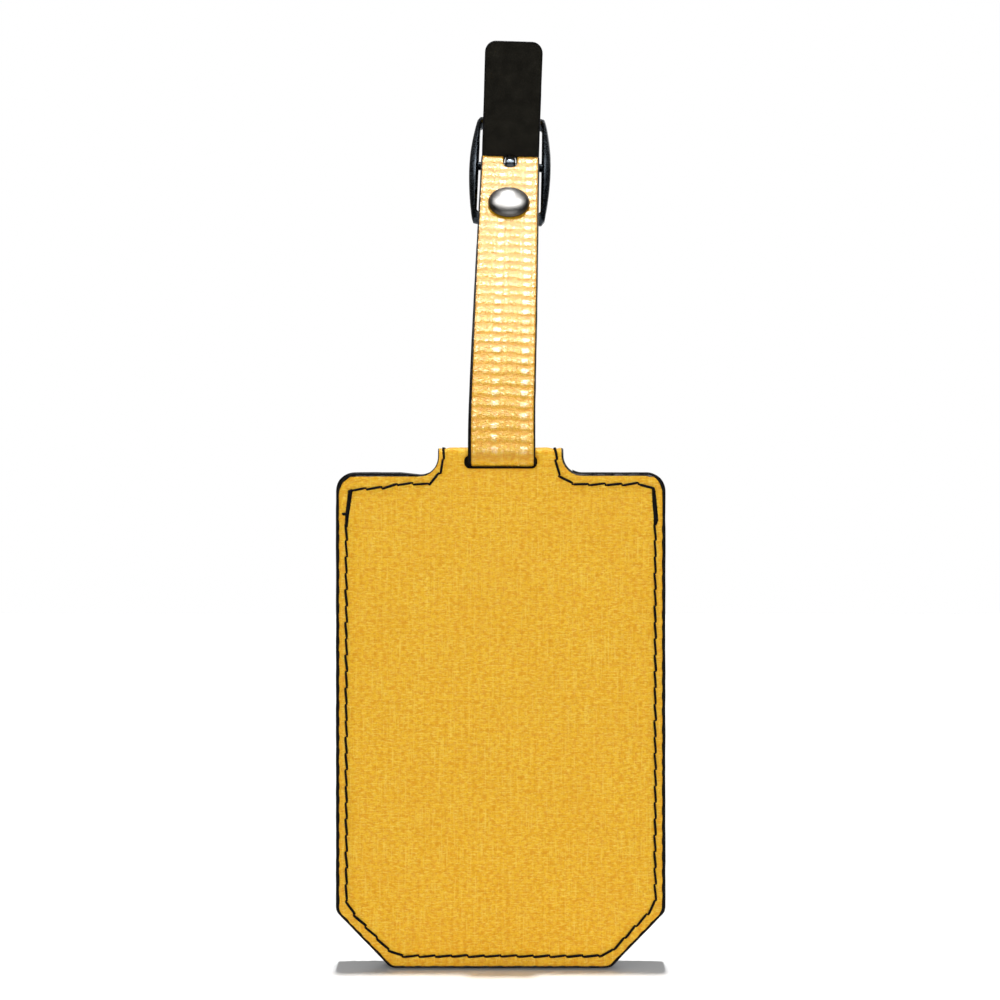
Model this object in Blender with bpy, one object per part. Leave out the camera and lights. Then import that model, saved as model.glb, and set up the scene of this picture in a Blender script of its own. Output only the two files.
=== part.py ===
"""Luggage tag: a stitched tag body that hangs from a buckled strap.

Lengths are in millimetres here and become metres when a piece is placed. X runs across
the tag, Y from its front face to its back and Z up. The design frame has z = 0 at the
tag's lower edge and y = 0 in the middle of the folded cover. The world origin is the
middle of the strap's loop, where a bag's handle passes through it.
"""

import bisect
import math

import bmesh
import bpy
from mathutils import Matrix, Vector
from mathutils.geometry import interpolate_bezier

MM = 0.001
ARC_STEP = math.radians(15)
FAR = 60.0
NEARLY_ROUND = 0.999
EMPTY_SIZE = 10.0

HANDLE_POINT = Vector((0.0, 25.0, 150.0))

# Tag outline
HALF_WIDTH = 35.0
SHOULDER_Z = 104.6
TAB_HALF_WIDTH = 13.3
CHAMFER_WIDTH = 11.6
CHAMFER_HEIGHT = 12.0
CHAMFER_RADIUS = 2.5
SHOULDER_RADIUS = 4.0
NECK_RADIUS = 4.0
ABOVE_TAB_Z = 118.0

# Folded cover
COVER_THICKNESS = 0.9
FOLD_OUTER_RADIUS = 1.4
FOLD_INNER_RADIUS = FOLD_OUTER_RADIUS - COVER_THICKNESS
FOLD_Z = 109.1
FOLD_SIDES = 12
SLOT_HALF_WIDTH = 7.75
SLOT_BOTTOM_Z = FOLD_Z - 3.0
SLOT_TOP_Z = FOLD_Z - 0.3
SLOT_RADIUS = 1.2

# Painted edge: how far the cover is set in from the outline along each kind of edge
PAINT_SIDE = 0.7
PAINT_BOTTOM = 0.45
PAINT_SHOULDER = 0.5
PAINT_GAP = 0.1
PAINT_FRONT_Y = -1.2
PAINT_BACK_Y = 3.65
PAINT_NECK_X = 15.2

# Layers behind the cover's front, each as (front y, back y)
STIFFENER_Y = (-0.4, 0.4)
LINING_Y = (1.5, 1.85)
CARD_Y = (2.0, 2.35)
WINDOW_Y = (2.5, 2.85)
FRAME_Y = (2.95, 3.85)
STIFFENER_MARGIN = 3.2
LAYER_TOP_Z = 100.0
LAYER_RADIUS = 1.0
MOUTH_Z = 98.5
THUMB_RADIUS = 10.0
THUMB_DEPTH = 4.0
THUMB_SIDES = 48
CARD_HALF_WIDTH = 27.0
CARD_Z = (7.4, 95.4)
CARD_RADIUS = 1.5
WINDOW_HALF_WIDTH = 28.8
WINDOW_Z = (10.2, 93.0)
WINDOW_RADIUS = 3.0
OPENING_HALF_WIDTH = 24.0
OPENING_Z = (14.0, 87.0)
OPENING_RADIUS = 3.0

# Seams: distance of each from its edge, and the grooves that they lie in
SEAM_SIDE = 2.25
SEAM_BOTTOM = 2.6
SEAM_SHOULDER = 2.35
SEAM_TAB = 1.65
SEAM_NECK_RADIUS = 5.0
SEAM_WINDOW = 2.2
THREAD_RADIUS = 0.25
THREAD_DEPTH = 0.32
GROOVE_WIDTH = 0.8
GROOVE_DEPTH = 0.68
TACK_WIDTH = 1.4
TACK_THICKNESS = 0.45
TACK_FRONT_Z = (94.2, 101.8)
TACK_BACK_Z = (93.6, 97.8)
TACK_GAP = 0.12
TACK_END_GAP = 0.48
TACK_ROUNDING = 0.7

# Strap
STRAP_HALF_WIDTH = 7.15
PLY_OUTER = 0.6
PLY_SPLIT = 0.04
STRAP_X = 0.2
STRAP_LEAN = math.radians(1.9)
LEAN_Z = (FOLD_Z + 2.0, FOLD_Z + 14.0)
BEND_RADIUS = 2.2
FRONT_LEAN = math.radians(15)
REAR_LEAN = math.radians(65)
TIP_RADIUS = 2.7
TIP_STEPS = 5
STATION_STEP = 2.4
BEND_STEP = math.radians(18)

# The bar of the buckle, which the strap folds round
BAR = Vector((40.0, 181.5))
BAR_RADIUS = 1.0
BAR_SIDES = 20
FOLD_RADIUS = 2.0
FOLD_LEAN = math.radians(34)
TAIL_LENGTH = 20.5
TAIL_OFFSET = 1.4
TAIL_JOINS_AT = 9.5

# Middle of the front run, from below the rivet down, and of the free end, from below the buckle up
FRONT_RUN = ((22.3, 158.85), (13.2, 145.0), (6.5, 132.7), (1.6, 121.0))
REAR_HANDLES = (24.0, 28.0)
REAR_TOP_LEAN = math.radians(20)
FREE_END = (
    (37.9, 165.5),
    (41.6, 174.0),
    (43.5, 181.5),
    (43.6, 190.0),
    (42.4, 199.5),
    (40.2, 209.8),
)
TIP_LEAN = math.radians(-12)

# Buckle frame, in a frame of its own whose origin is the middle of the bar
FRAME_INNER_X = 7.75
FRAME_END_WIDTH = 0.7
FRAME_BELLY = 1.6
FRAME_HALF_DEPTH = 1.5
FRAME_ENDS = (-16.5, 17.4)
FRAME_STATIONS = 14
FRAME_STEPS = 24
RAIL_END_INSET = 0.5
FRAME_LEAN = math.radians(26.5)
FRAME_BEND = math.radians(6.5)
FRAME_BEND_LENGTH = 5.0
END_BAR_HALF_HEIGHT = 1.3
END_BAR_HALF_DEPTH = 1.425
END_BAR_RADIUS = 0.8
BAR_SEAT = 1.0
BAR_CLEARANCE = 0.2

# Section of a side rail, each point as (share of its width outwards, share of its half depth back)
RAIL_SECTION = (
    (0.0, -0.8),
    (0.3, -1.0),
    (0.7, -0.75),
    (1.0, -0.1),
    (1.0, 0.5),
    (0.8, 0.9),
    (0.2, 1.0),
    (0.0, 0.8),
)

# Prong, in the buckle's own frame
PRONG_HALF_WIDTH = 1.25
PRONG_TAPER = 0.3
PRONG_SIDES = 28
PRONG_HALF_THICKNESS = 0.5
PRONG_LOOP_RADII = (1.15, 2.25)
PRONG_SHAFT = (
    (1.0, 1.3),
    (2.6, 1.3),
    (4.75, 2.4),
    (5.85, 5.7),
    (5.7, 10.2),
    (5.98, 13.3),
    (7.0, 15.7),
)
PRONG_DIRECTIONS = (Vector((0.95, 0.2)), Vector((0.4, 0.9)))
NOTCH_HALF_WIDTH = 1.75
NOTCH_REACH = 2.9

# Rivet
RIVET_AT = 15.8
RIVET_CAP_RADIUS = 4.95
RIVET_CAP_HEIGHT = 1.9
RIVET_RIM_HEIGHT = 0.3
RIVET_SOCKET = (1.6, 0.9)
RIVET_STEM_RADIUS = 1.4
RIVET_HOLE_RADIUS = 1.7
RIVET_BACK_RADIUS = 3.8
RIVET_BACK_THICKNESS = 0.7
RIVET_BACK_BEVEL = 0.5
RIVET_GAP = 0.1
RIVET_SIDES = 32
RIVET_DOME_STEPS = 8

# Holes in the free end for the prong: height of the first, and their spacing down the strap
PRONG_HOLE_Z = 183.6
PRONG_HOLE_SPACING = 11.0
PRONG_HOLE_COUNT = 4
PRONG_HOLE_HALF_LENGTH = 2.1
PRONG_HOLE_HALF_WIDTH = 1.5

# Colour, roughness and metallic value
YELLOW = ((0.72, 0.42, 0.06), 0.45, 0.0)
BLACK_LINING = ((0.02, 0.018, 0.012), 0.7, 0.0)
EDGE_BLACK = ((0.012, 0.012, 0.014), 0.3, 0.0)
THREAD_BLACK = ((0.01, 0.01, 0.01), 0.8, 0.0)
BOARD_GREY = ((0.3, 0.27, 0.22), 0.9, 0.0)
CARD_WHITE = ((0.85, 0.84, 0.8), 0.8, 0.0)
CLEAR = ((0.9, 0.92, 0.93), 0.08, 0.0)
NICKEL = ((0.75, 0.74, 0.72), 0.15, 1.0)
GUNMETAL = ((0.12, 0.13, 0.15), 0.2, 1.0)


# ---- outlines in the XZ plane


def rounded(corners, closed=True):
    """The points through corners given as (x, z, radius), with an arc at each radius."""
    points = []
    last = len(corners) - 1
    for i, (x, z, radius) in enumerate(corners):
        here = Vector((x, z))
        if radius == 0 or (not closed and i in (0, last)):
            points.append(here)
            continue
        before = (Vector(corners[i - 1][:2]) - here).normalized()
        after = (Vector(corners[(i + 1) % len(corners)][:2]) - here).normalized()
        half = before.angle(after) / 2
        centre = here + (before + after).normalized() * radius / math.sin(half)
        spoke = here + before * radius / math.tan(half) - centre
        turn = math.pi - 2 * half
        steps = max(2, round(turn / ARC_STEP))
        signed_turn = math.copysign(turn, -before.cross(after))
        for step in range(steps + 1):
            points.append(centre + Matrix.Rotation(signed_turn * step / steps, 2) @ spoke)
    return points


def inset_corners(corners, insets):
    """The corners of a counter-clockwise outline after each edge moved inwards by its own amount."""
    lines = []
    for i, inset in enumerate(insets):
        start = Vector(corners[i][:2])
        along = (Vector(corners[(i + 1) % len(corners)][:2]) - start).normalized()
        lines.append((start + Vector((-along.y, along.x)) * inset, along))
    moved = []
    for i, (_, _, radius) in enumerate(corners):
        (p, u), (q, v) = lines[i - 1], lines[i]
        meeting = p + u * (q - p).cross(v) / u.cross(v)
        moved.append((*meeting, radius))
    return moved


def mirrored(corners):
    """The corners with x turned round, in reverse, so that right and left halves join up."""
    return [(-x, z, radius) for x, z, radius in reversed(corners)]


def tag_corners(side=0.0, bottom=0.0, shoulder=0.0, tab=0.0):
    """The tag's corners, counter-clockwise from its lower right, set in along each edge."""
    half = [
        (HALF_WIDTH - CHAMFER_WIDTH, 0.0, CHAMFER_RADIUS),
        (HALF_WIDTH, CHAMFER_HEIGHT, CHAMFER_RADIUS),
        (HALF_WIDTH, SHOULDER_Z, SHOULDER_RADIUS),
        (TAB_HALF_WIDTH, SHOULDER_Z, NECK_RADIUS),
        (TAB_HALF_WIDTH, ABOVE_TAB_Z, 0.0),
    ]
    right = [(side + bottom) / 2, side, shoulder, tab]
    insets = right + [0.0] + right[::-1] + [bottom]
    return inset_corners(half + mirrored(half), insets)


def cover_corners(margin=0.0):
    return tag_corners(PAINT_SIDE + margin, PAINT_BOTTOM + margin, PAINT_SHOULDER + margin)


def layer_corners(margin, top):
    """The cover's outline below a straight top edge, for the layers that end there."""
    right = cover_corners(margin)[:2]
    right.append((right[1][0], top, LAYER_RADIUS))
    return right + mirrored(right)


def rectangle(half_width, low, high, radius=0.0):
    right = [(half_width, low, radius), (half_width, high, radius)]
    return right + mirrored(right)


def circle(x, z, radius, sides=16):
    turns = [math.tau * i / sides for i in range(sides)]
    return [Vector((x + radius * math.cos(turn), z + radius * math.sin(turn))) for turn in turns]


def band(path, width):
    """The outline of a band of this width along an open path."""
    edges = [(b - a).normalized() for a, b in zip(path, path[1:])]
    left, right = [], []
    for here, before, after in zip(path, edges[:1] + edges, edges + edges[-1:]):
        across = Vector((-(before + after).y, (before + after).x)).normalized()
        reach = width / 2 / across.dot(Vector((-before.y, before.x)))
        left.append(here + across * reach)
        right.append(here - across * reach)
    return left + right[::-1]


# ---- meshes, in millimetres


def mesh_of(shape):
    bmesh.ops.recalc_face_normals(shape, faces=shape.faces)
    mesh = bpy.data.meshes.new("shape")
    shape.to_mesh(mesh)
    shape.free()
    return mesh


def prism(points, front, back):
    """The outline in XZ filled and extruded from y = front to y = back."""
    shape = bmesh.new()
    face = shape.faces.new([shape.verts.new((x, front, z)) for x, z in points])
    made = bmesh.ops.extrude_face_region(shape, geom=[face])["geom"]
    moved = [part for part in made if isinstance(part, bmesh.types.BMVert)]
    bmesh.ops.translate(shape, verts=moved, vec=(0, back - front, 0))
    return mesh_of(shape)


def lofted(rings):
    """A closed skin over rings of equal length, with a flat cap at each end."""
    shape = bmesh.new()
    rows = [[shape.verts.new(point) for point in ring] for ring in rings]
    for row, following in zip(rows, rows[1:]):
        for i in range(len(row)):
            shape.faces.new((row[i - 1], row[i], following[i], following[i - 1]))
    shape.faces.new(rows[0])
    shape.faces.new(rows[-1])
    return mesh_of(shape)


def turned(profile):
    """The solid swept by a (radius, height) profile round Z; its ends lie on the axis."""
    shape = bmesh.new()
    points = [shape.verts.new((radius, 0, height)) for radius, height in profile]
    edges = [shape.edges.new(pair) for pair in zip(points, points[1:])]
    bmesh.ops.spin(
        shape,
        geom=points + edges,
        axis=(0, 0, 1),
        cent=(0, 0, 0),
        steps=RIVET_SIDES,
        angle=math.tau,
    )
    bmesh.ops.remove_doubles(shape, verts=shape.verts, dist=0.001)
    return mesh_of(shape)


def rod(radius, half_length, sides=BAR_SIDES):
    """A round rod along X."""
    ends = (-half_length, half_length)
    return lofted([[(x, point.x, point.y) for point in circle(0, 0, radius, sides)] for x in ends])


def combined(base, tools, operation):
    """The base mesh after a Boolean with each of the tool meshes in turn."""
    holder = bpy.data.objects.new("holder", base)
    helpers = [bpy.data.objects.new("tool", tool) for tool in tools]
    for helper in [holder, *helpers]:
        bpy.context.collection.objects.link(helper)
    for helper in helpers:
        modifier = holder.modifiers.new("combine", "BOOLEAN")
        modifier.operation = operation
        modifier.object = helper
    graph = bpy.context.evaluated_depsgraph_get()
    result = bpy.data.meshes.new_from_object(holder.evaluated_get(graph))
    for helper in [holder, *helpers]:
        bpy.data.objects.remove(helper)
    return result


def cut(base, *tools):
    return combined(base, tools, "DIFFERENCE")


def joined(base, *tools):
    return combined(base, tools, "UNION")


# ---- placing


def material(name, look):
    (red, green, blue), roughness, metallic = look
    made = bpy.data.materials.new(name)
    made.use_nodes = True
    shader = made.node_tree.nodes["Principled BSDF"]
    shader.inputs["Base Color"].default_value = (red, green, blue, 1)
    shader.inputs["Roughness"].default_value = roughness
    shader.inputs["Metallic"].default_value = metallic
    return made


def pivot(name, at, parent=None, rotation=(0, 0, 0)):
    """An empty that carries one moving body, on that body's joint axis."""
    empty = bpy.data.objects.new(name, None)
    empty.location = Vector(at) * MM
    empty.rotation_euler = rotation
    empty.empty_display_size = EMPTY_SIZE * MM
    empty.parent = parent
    bpy.context.collection.objects.link(empty)
    return empty


def place(name, data, look, body):
    """Adds a node to a body. A body is its empty and where the design frame lies in it."""
    empty, offset = body
    data.name = name
    data.materials.clear()
    data.materials.append(material(name, look))
    node = bpy.data.objects.new(name, data)
    node.location = Vector(offset) * MM
    node.parent = empty
    bpy.context.collection.objects.link(node)


def place_mesh(name, mesh, look, body, smooth_angle=math.radians(35)):
    mesh.transform(Matrix.Scale(MM, 4))
    mesh.shade_smooth()
    mesh.set_sharp_from_angle(angle=smooth_angle)
    place(name, mesh, look, body)


def place_thread(name, path, y, body):
    """Adds a sewing thread that follows a path in XZ at one depth."""
    curve = bpy.data.curves.new(name, "CURVE")
    curve.dimensions = "3D"
    curve.bevel_depth = THREAD_RADIUS * MM
    curve.bevel_resolution = 1
    curve.use_fill_caps = True
    spline = curve.splines.new("POLY")
    spline.points.add(len(path) - 1)
    for point, (x, z) in zip(spline.points, path):
        point.co = (x * MM, y * MM, z * MM, 1)
    place(name, curve, THREAD_BLACK, body)


# ---- seams


def side_seam(top):
    """The open path of the seam from the left side round the bottom to the right side."""
    right = tag_corners(SEAM_SIDE, SEAM_BOTTOM)[:2]
    right.append((HALF_WIDTH - SEAM_SIDE, top, 0.0))
    return rounded(mirrored(right) + right, closed=False)


def shoulder_seam(side):
    """The open path from a tack along the shoulder and up the tab to its fold."""
    shoulder_z = SHOULDER_Z - SEAM_SHOULDER
    tab_x = TAB_HALF_WIDTH - SEAM_TAB
    start_x = HALF_WIDTH - SEAM_SIDE - TACK_WIDTH
    neck = (tab_x, shoulder_z, SEAM_NECK_RADIUS)
    corners = [(start_x, shoulder_z, 0.0), neck, (tab_x, FOLD_Z, 0.0)]
    return rounded([(side * x, z, radius) for x, z, radius in corners], closed=False)


def window_seam():
    """The open path of the seam round the window, which starts and ends at its lower middle."""
    half_width = OPENING_HALF_WIDTH + SEAM_WINDOW
    low, high = OPENING_Z[0] - SEAM_WINDOW, OPENING_Z[1] + SEAM_WINDOW
    radius = OPENING_RADIUS + 1.0
    right = [(GROOVE_WIDTH, low, 0.0), (half_width, low, radius), (half_width, high, radius)]
    return rounded(right + mirrored(right), closed=False)


def groove(path, face_y, inwards):
    """A cutter for a groove along a seam in the face at this y; inwards is 1 or -1 along Y."""
    return prism(band(path, GROOVE_WIDTH), face_y - inwards, face_y + inwards * GROOVE_DEPTH)


def tack_points(side, heights, gap=0.0):
    half_width = TACK_WIDTH / 2 + gap
    low, high = heights
    middle_x = side * (HALF_WIDTH - SEAM_SIDE)
    points = rounded(rectangle(half_width, low - gap, high + gap, half_width * TACK_ROUNDING))
    return [Vector((middle_x + point.x, point.y)) for point in points]


def tack_pocket(side, heights, face_y, inwards):
    return prism(tack_points(side, heights, TACK_GAP), face_y - inwards, face_y + inwards * GROOVE_DEPTH)


# ---- tag body


def build_cover(body):
    """One sheet that runs up the front, over the fold and down the back."""
    turns = [math.pi * step / FOLD_SIDES for step in range(FOLD_SIDES + 1)]
    profile = []
    for radius, order in ((FOLD_OUTER_RADIUS, turns), (FOLD_INNER_RADIUS, turns[::-1])):
        arc = [(-radius * math.cos(turn), FOLD_Z + radius * math.sin(turn)) for turn in order]
        profile += [(arc[0][0], -1.0), *arc, (arc[-1][0], -1.0)]
    sheet = lofted([[(x, y, z) for y, z in profile] for x in (-FAR, FAR)])
    shape = combined(sheet, [prism(rounded(cover_corners()), -FAR, FAR)], "INTERSECT")
    slot = rectangle(SLOT_HALF_WIDTH, SLOT_BOTTOM_Z, SLOT_TOP_Z, SLOT_RADIUS)
    cutters = [prism(rounded(slot), -FAR, FAR)]
    front, back = -FOLD_OUTER_RADIUS, FOLD_OUTER_RADIUS
    cutters.append(groove(side_seam(TACK_FRONT_Z[0]), front, 1))
    for side in (-1, 1):
        cutters.append(groove(shoulder_seam(side), front, 1))
        cutters.append(groove(shoulder_seam(side), back, -1))
        cutters.append(tack_pocket(side, TACK_FRONT_Z, front, 1))
    place_mesh("outer_cover", cut(shape, *cutters), YELLOW, body)


def build_edge_paint(body):
    """A ring round the layers' edges, thin above the pocket and open at the tab."""
    ring = prism(rounded(tag_corners()), PAINT_FRONT_Y, PAINT_BACK_Y)
    core = prism(rounded(cover_corners(-PAINT_GAP)), -FAR, FAR)
    tab = prism(rounded(rectangle(PAINT_NECK_X, MOUTH_Z, 2 * FAR)), -FAR, FAR)
    above_pocket = prism(rounded(rectangle(FAR, MOUTH_Z, 2 * FAR)), -PAINT_FRONT_Y, FAR)
    place_mesh("edge_paint", cut(ring, core, tab, above_pocket), EDGE_BLACK, body)


def build_layers(body):
    stiffener = prism(rounded(layer_corners(STIFFENER_MARGIN, LAYER_TOP_Z)), *STIFFENER_Y)
    place_mesh("cover_stiffener", stiffener, BOARD_GREY, body)
    lining = prism(rounded(layer_corners(0.0, LAYER_TOP_Z)), *LINING_Y)
    place_mesh("pocket_lining", lining, BLACK_LINING, body)
    window = prism(rounded(rectangle(WINDOW_HALF_WIDTH, *WINDOW_Z, WINDOW_RADIUS)), *WINDOW_Y)
    place_mesh("card_window", window, CLEAR, body)


def build_window_frame(body):
    frame = prism(rounded(layer_corners(0.0, MOUTH_Z)), *FRAME_Y)
    opening = rounded(rectangle(OPENING_HALF_WIDTH, *OPENING_Z, OPENING_RADIUS))
    thumb = circle(0, MOUTH_Z + THUMB_RADIUS - THUMB_DEPTH, THUMB_RADIUS, THUMB_SIDES)
    cutters = [prism(opening, -FAR, FAR), prism(thumb, -FAR, FAR)]
    back = FRAME_Y[1]
    cutters.append(groove(side_seam(TACK_BACK_Z[0]), back, -1))
    cutters.append(groove(window_seam(), back, -1))
    cutters += [tack_pocket(side, TACK_BACK_Z, back, -1) for side in (-1, 1)]
    place_mesh("window_frame", cut(frame, *cutters), YELLOW, body)


def build_stitching(body):
    front = -FOLD_OUTER_RADIUS + THREAD_DEPTH
    cover_back = FOLD_OUTER_RADIUS - THREAD_DEPTH
    frame_back = FRAME_Y[1] - THREAD_DEPTH
    place_thread("body_thread", side_seam(TACK_FRONT_Z[0] - TACK_END_GAP), front, body)
    place_thread("back_thread", side_seam(TACK_BACK_Z[0] - TACK_END_GAP), frame_back, body)
    place_thread("window_thread", window_seam()[1:-1], frame_back, body)
    for side, word in ((-1, "left"), (1, "right")):
        place_thread(f"shoulder_thread_{word}", shoulder_seam(side), front, body)
        place_thread(f"back_shoulder_thread_{word}", shoulder_seam(side), cover_back, body)
        front_face = front - THREAD_DEPTH
        front_tack = prism(tack_points(side, TACK_FRONT_Z), front_face, front_face + TACK_THICKNESS)
        place_mesh(f"bar_tack_{word}", front_tack, THREAD_BLACK, body)
        back_face = FRAME_Y[1] - TACK_GAP
        back_tack = prism(tack_points(side, TACK_BACK_Z), back_face - TACK_THICKNESS, back_face)
        place_mesh(f"back_bar_tack_{word}", back_tack, THREAD_BLACK, body)


# ---- strap


def direction(lean):
    """The unit (y, z) direction that leans back from upright by this angle."""
    return Vector((math.sin(lean), math.cos(lean)))


def outwards(along):
    """The side of a (y, z) direction that faces out of the strap's loop."""
    return Vector((along.y, -along.x))


def curve_through(points, first, last):
    """A smooth curve that leaves the first point along one direction and ends along another."""
    middle = [(after - before).normalized() for before, after in zip(points, points[2:])]
    tangents = [first, *middle, last]
    path = []
    for p, q, u, v in zip(points, points[1:], tangents, tangents[1:]):
        third = (q - p).length / 3
        count = max(2, round(3 * third / STATION_STEP))
        path += interpolate_bezier(p, p + u * third, q - v * third, q, count + 1)[:-1]
    return path + [points[-1]]


def arc(centre, radius, start, turn):
    """Points of an arc that starts at an angle from +Y towards +Z and turns by another."""
    steps = round(abs(turn) / BEND_STEP)
    angles = [start + turn * step / steps for step in range(steps + 1)]
    return [centre + radius * Vector((math.cos(angle), math.sin(angle))) for angle in angles]


def lengths_along(path):
    total = [0.0]
    for a, b in zip(path, path[1:]):
        total.append(total[-1] + (b - a).length)
    return total


def rivet_point():
    """Where the rivet's axis meets the middle line of the front run."""
    return BAR - outwards(direction(FOLD_LEAN)) * FOLD_RADIUS - direction(FOLD_LEAN) * RIVET_AT


def tail_run(front):
    """The short run behind the front run, from the bar down to the strap's sewn-in end."""
    tail = []
    for station, distance in enumerate(lengths_along(front)):
        if distance > TAIL_LENGTH:
            break
        share = min(1.0, distance / TAIL_JOINS_AT)
        eased = share * share * (3 - 2 * share)
        offset = 2 * FOLD_RADIUS * (1 - eased) + TAIL_OFFSET * eased
        upwards = (front[max(0, station - 1)] - front[station + 1]).normalized()
        tail.append(front[station] + outwards(upwards) * offset)
    return tail


def strap_stations():
    """The strap's middle line as (y, z) points from tail to tip, and its half width at each."""
    bend = Vector((0.0, FOLD_Z))
    front_top = BAR - outwards(direction(FOLD_LEAN)) * FOLD_RADIUS
    front_low = bend - outwards(direction(FRONT_LEAN)) * BEND_RADIUS
    rear_low = bend + outwards(direction(REAR_LEAN)) * BEND_RADIUS
    stops = [front_top, rivet_point(), *map(Vector, FRONT_RUN), front_low]
    front = curve_through(stops, -direction(FOLD_LEAN), -direction(FRONT_LEAN))
    fold = arc(BAR, FOLD_RADIUS, -FOLD_LEAN, math.pi)
    under = arc(bend, BEND_RADIUS, math.pi - FRONT_LEAN, math.pi - REAR_LEAN + FRONT_LEAN)
    free_end = curve_through([*map(Vector, FREE_END)], direction(REAR_TOP_LEAN), direction(TIP_LEAN))
    low_handle = rear_low + direction(REAR_LEAN) * REAR_HANDLES[0]
    high_handle = free_end[0] - direction(REAR_TOP_LEAN) * REAR_HANDLES[1]
    steps = round((free_end[0] - rear_low).length / STATION_STEP)
    rear = interpolate_bezier(rear_low, low_handle, high_handle, free_end[0], steps + 1)
    path = tail_run(front)[::-1]
    for run in (fold, front, under, rear, free_end):
        path += run[1:]
    widths = [STRAP_HALF_WIDTH] * len(path)
    for step in range(1, TIP_STEPS + 1):
        turn = math.pi / 2 * step / TIP_STEPS
        path.append(free_end[-1] + direction(TIP_LEAN) * TIP_RADIUS * math.sin(turn))
        widths.append(STRAP_HALF_WIDTH - TIP_RADIUS * (1 - math.cos(turn)))
    return path, widths


def leaned(x, y, z):
    """Where a point of the upright strap lies once the strap leans to one side."""
    low, high = LEAN_Z
    in_bend = min(high, max(low, z)) - low
    lean = STRAP_LEAN * in_bend / (high - low)
    above = max(0.0, z - high)
    middle_x = STRAP_X + in_bend * lean / 2 + above * math.sin(STRAP_LEAN)
    middle_z = min(z, high) + above * math.cos(STRAP_LEAN)
    return Vector((middle_x + x * math.cos(lean), y, middle_z - x * math.sin(lean)))


def leaned_matrix(y, z, tilt=0.0):
    """The frame of a rigid piece on the leaning part of the strap, tilted back about X."""
    turn = Matrix.Rotation(STRAP_LEAN, 4, "Y") @ Matrix.Rotation(tilt, 4, "X")
    return Matrix.Translation(leaned(0, y, z)) @ turn


def length_at(path, point, nearest_from):
    """The distance along the path of its station nearest a point, past a given distance."""
    stations = [(s, p) for s, p in zip(lengths_along(path), path) if s >= nearest_from]
    station, here = min(stations, key=lambda each: (each[1] - point).length)
    i = path.index(here)
    along = (path[i + 1] - path[i - 1]).normalized()
    return station + (point - here).dot(along)


def slot(x, length, half_width, half_length):
    """A cutter for a round-ended hole through the flat strap at a distance along it."""
    corners = rectangle(half_width, length - half_length, length + half_length, half_width * NEARLY_ROUND)
    return prism([Vector((x + point.x, point.y)) for point in rounded(corners)], -FAR, FAR)


def strap_holes(path):
    """Cutters for the holes, in the flat strap's own plane: X across and Z along it."""
    lengths = lengths_along(path)
    rivet = rivet_point()
    tail_hole = length_at(path, rivet + outwards(direction(FOLD_LEAN)) * TAIL_OFFSET, 0.0)
    fold_length = math.pi * FOLD_RADIUS
    fold_start = length_at(path, BAR + outwards(direction(FOLD_LEAN)) * FOLD_RADIUS, 0.0)
    fold_middle = fold_start + fold_length / 2
    front_hole = length_at(path, rivet, fold_middle)
    holes = [prism(circle(0, hole, RIVET_HOLE_RADIUS), -FAR, FAR) for hole in (tail_hole, front_hole)]
    holes.append(slot(0, fold_middle, NOTCH_HALF_WIDTH, fold_length / 2 + NOTCH_REACH))
    rear_start = lengths[-1] / 2
    behind_bar = Vector((FREE_END[2][0], PRONG_HOLE_Z))
    first = length_at(path, behind_bar, rear_start)
    for i in range(PRONG_HOLE_COUNT):
        length = first - i * PRONG_HOLE_SPACING
        holes.append(slot(0, length, PRONG_HOLE_HALF_WIDTH, PRONG_HOLE_HALF_LENGTH))
    return holes


def bent(mesh, path):
    """Bends a flat ply, with X across, Y outwards and Z along it, to follow the path."""
    lengths = lengths_along(path)
    edges = [b - a for a, b in zip(path, path[1:])]
    turns = zip(edges[:1] + edges, edges + edges[-1:])
    normals = [outwards((a.normalized() + b.normalized()).normalized()) for a, b in turns]
    for vertex in mesh.vertices:
        x, outward, length = vertex.co
        i = min(len(path) - 2, max(0, bisect.bisect_right(lengths, length) - 1))
        share = (length - lengths[i]) / (lengths[i + 1] - lengths[i])
        middle = path[i].lerp(path[i + 1], share)
        y, z = middle + normals[i].lerp(normals[i + 1], share) * outward
        vertex.co = leaned(x, y, z)
    return mesh


def build_strap(body):
    """The two plies, made flat with their holes and then bent together."""
    path, widths = strap_stations()
    lengths = lengths_along(path)
    plies = (
        ("strap_face", PLY_SPLIT, PLY_OUTER, YELLOW),
        ("strap_lining", -PLY_OUTER, -PLY_SPLIT, BLACK_LINING),
    )
    for name, inner, outer, look in plies:
        rings = []
        for length, half in zip(lengths, widths):
            corners = ((-half, inner), (half, inner), (half, outer), (-half, outer))
            rings.append([(x, outward, length) for x, outward in corners])
        flat = cut(lofted(rings), *strap_holes(path))
        place_mesh(name, bent(flat, path), look, body)


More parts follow.
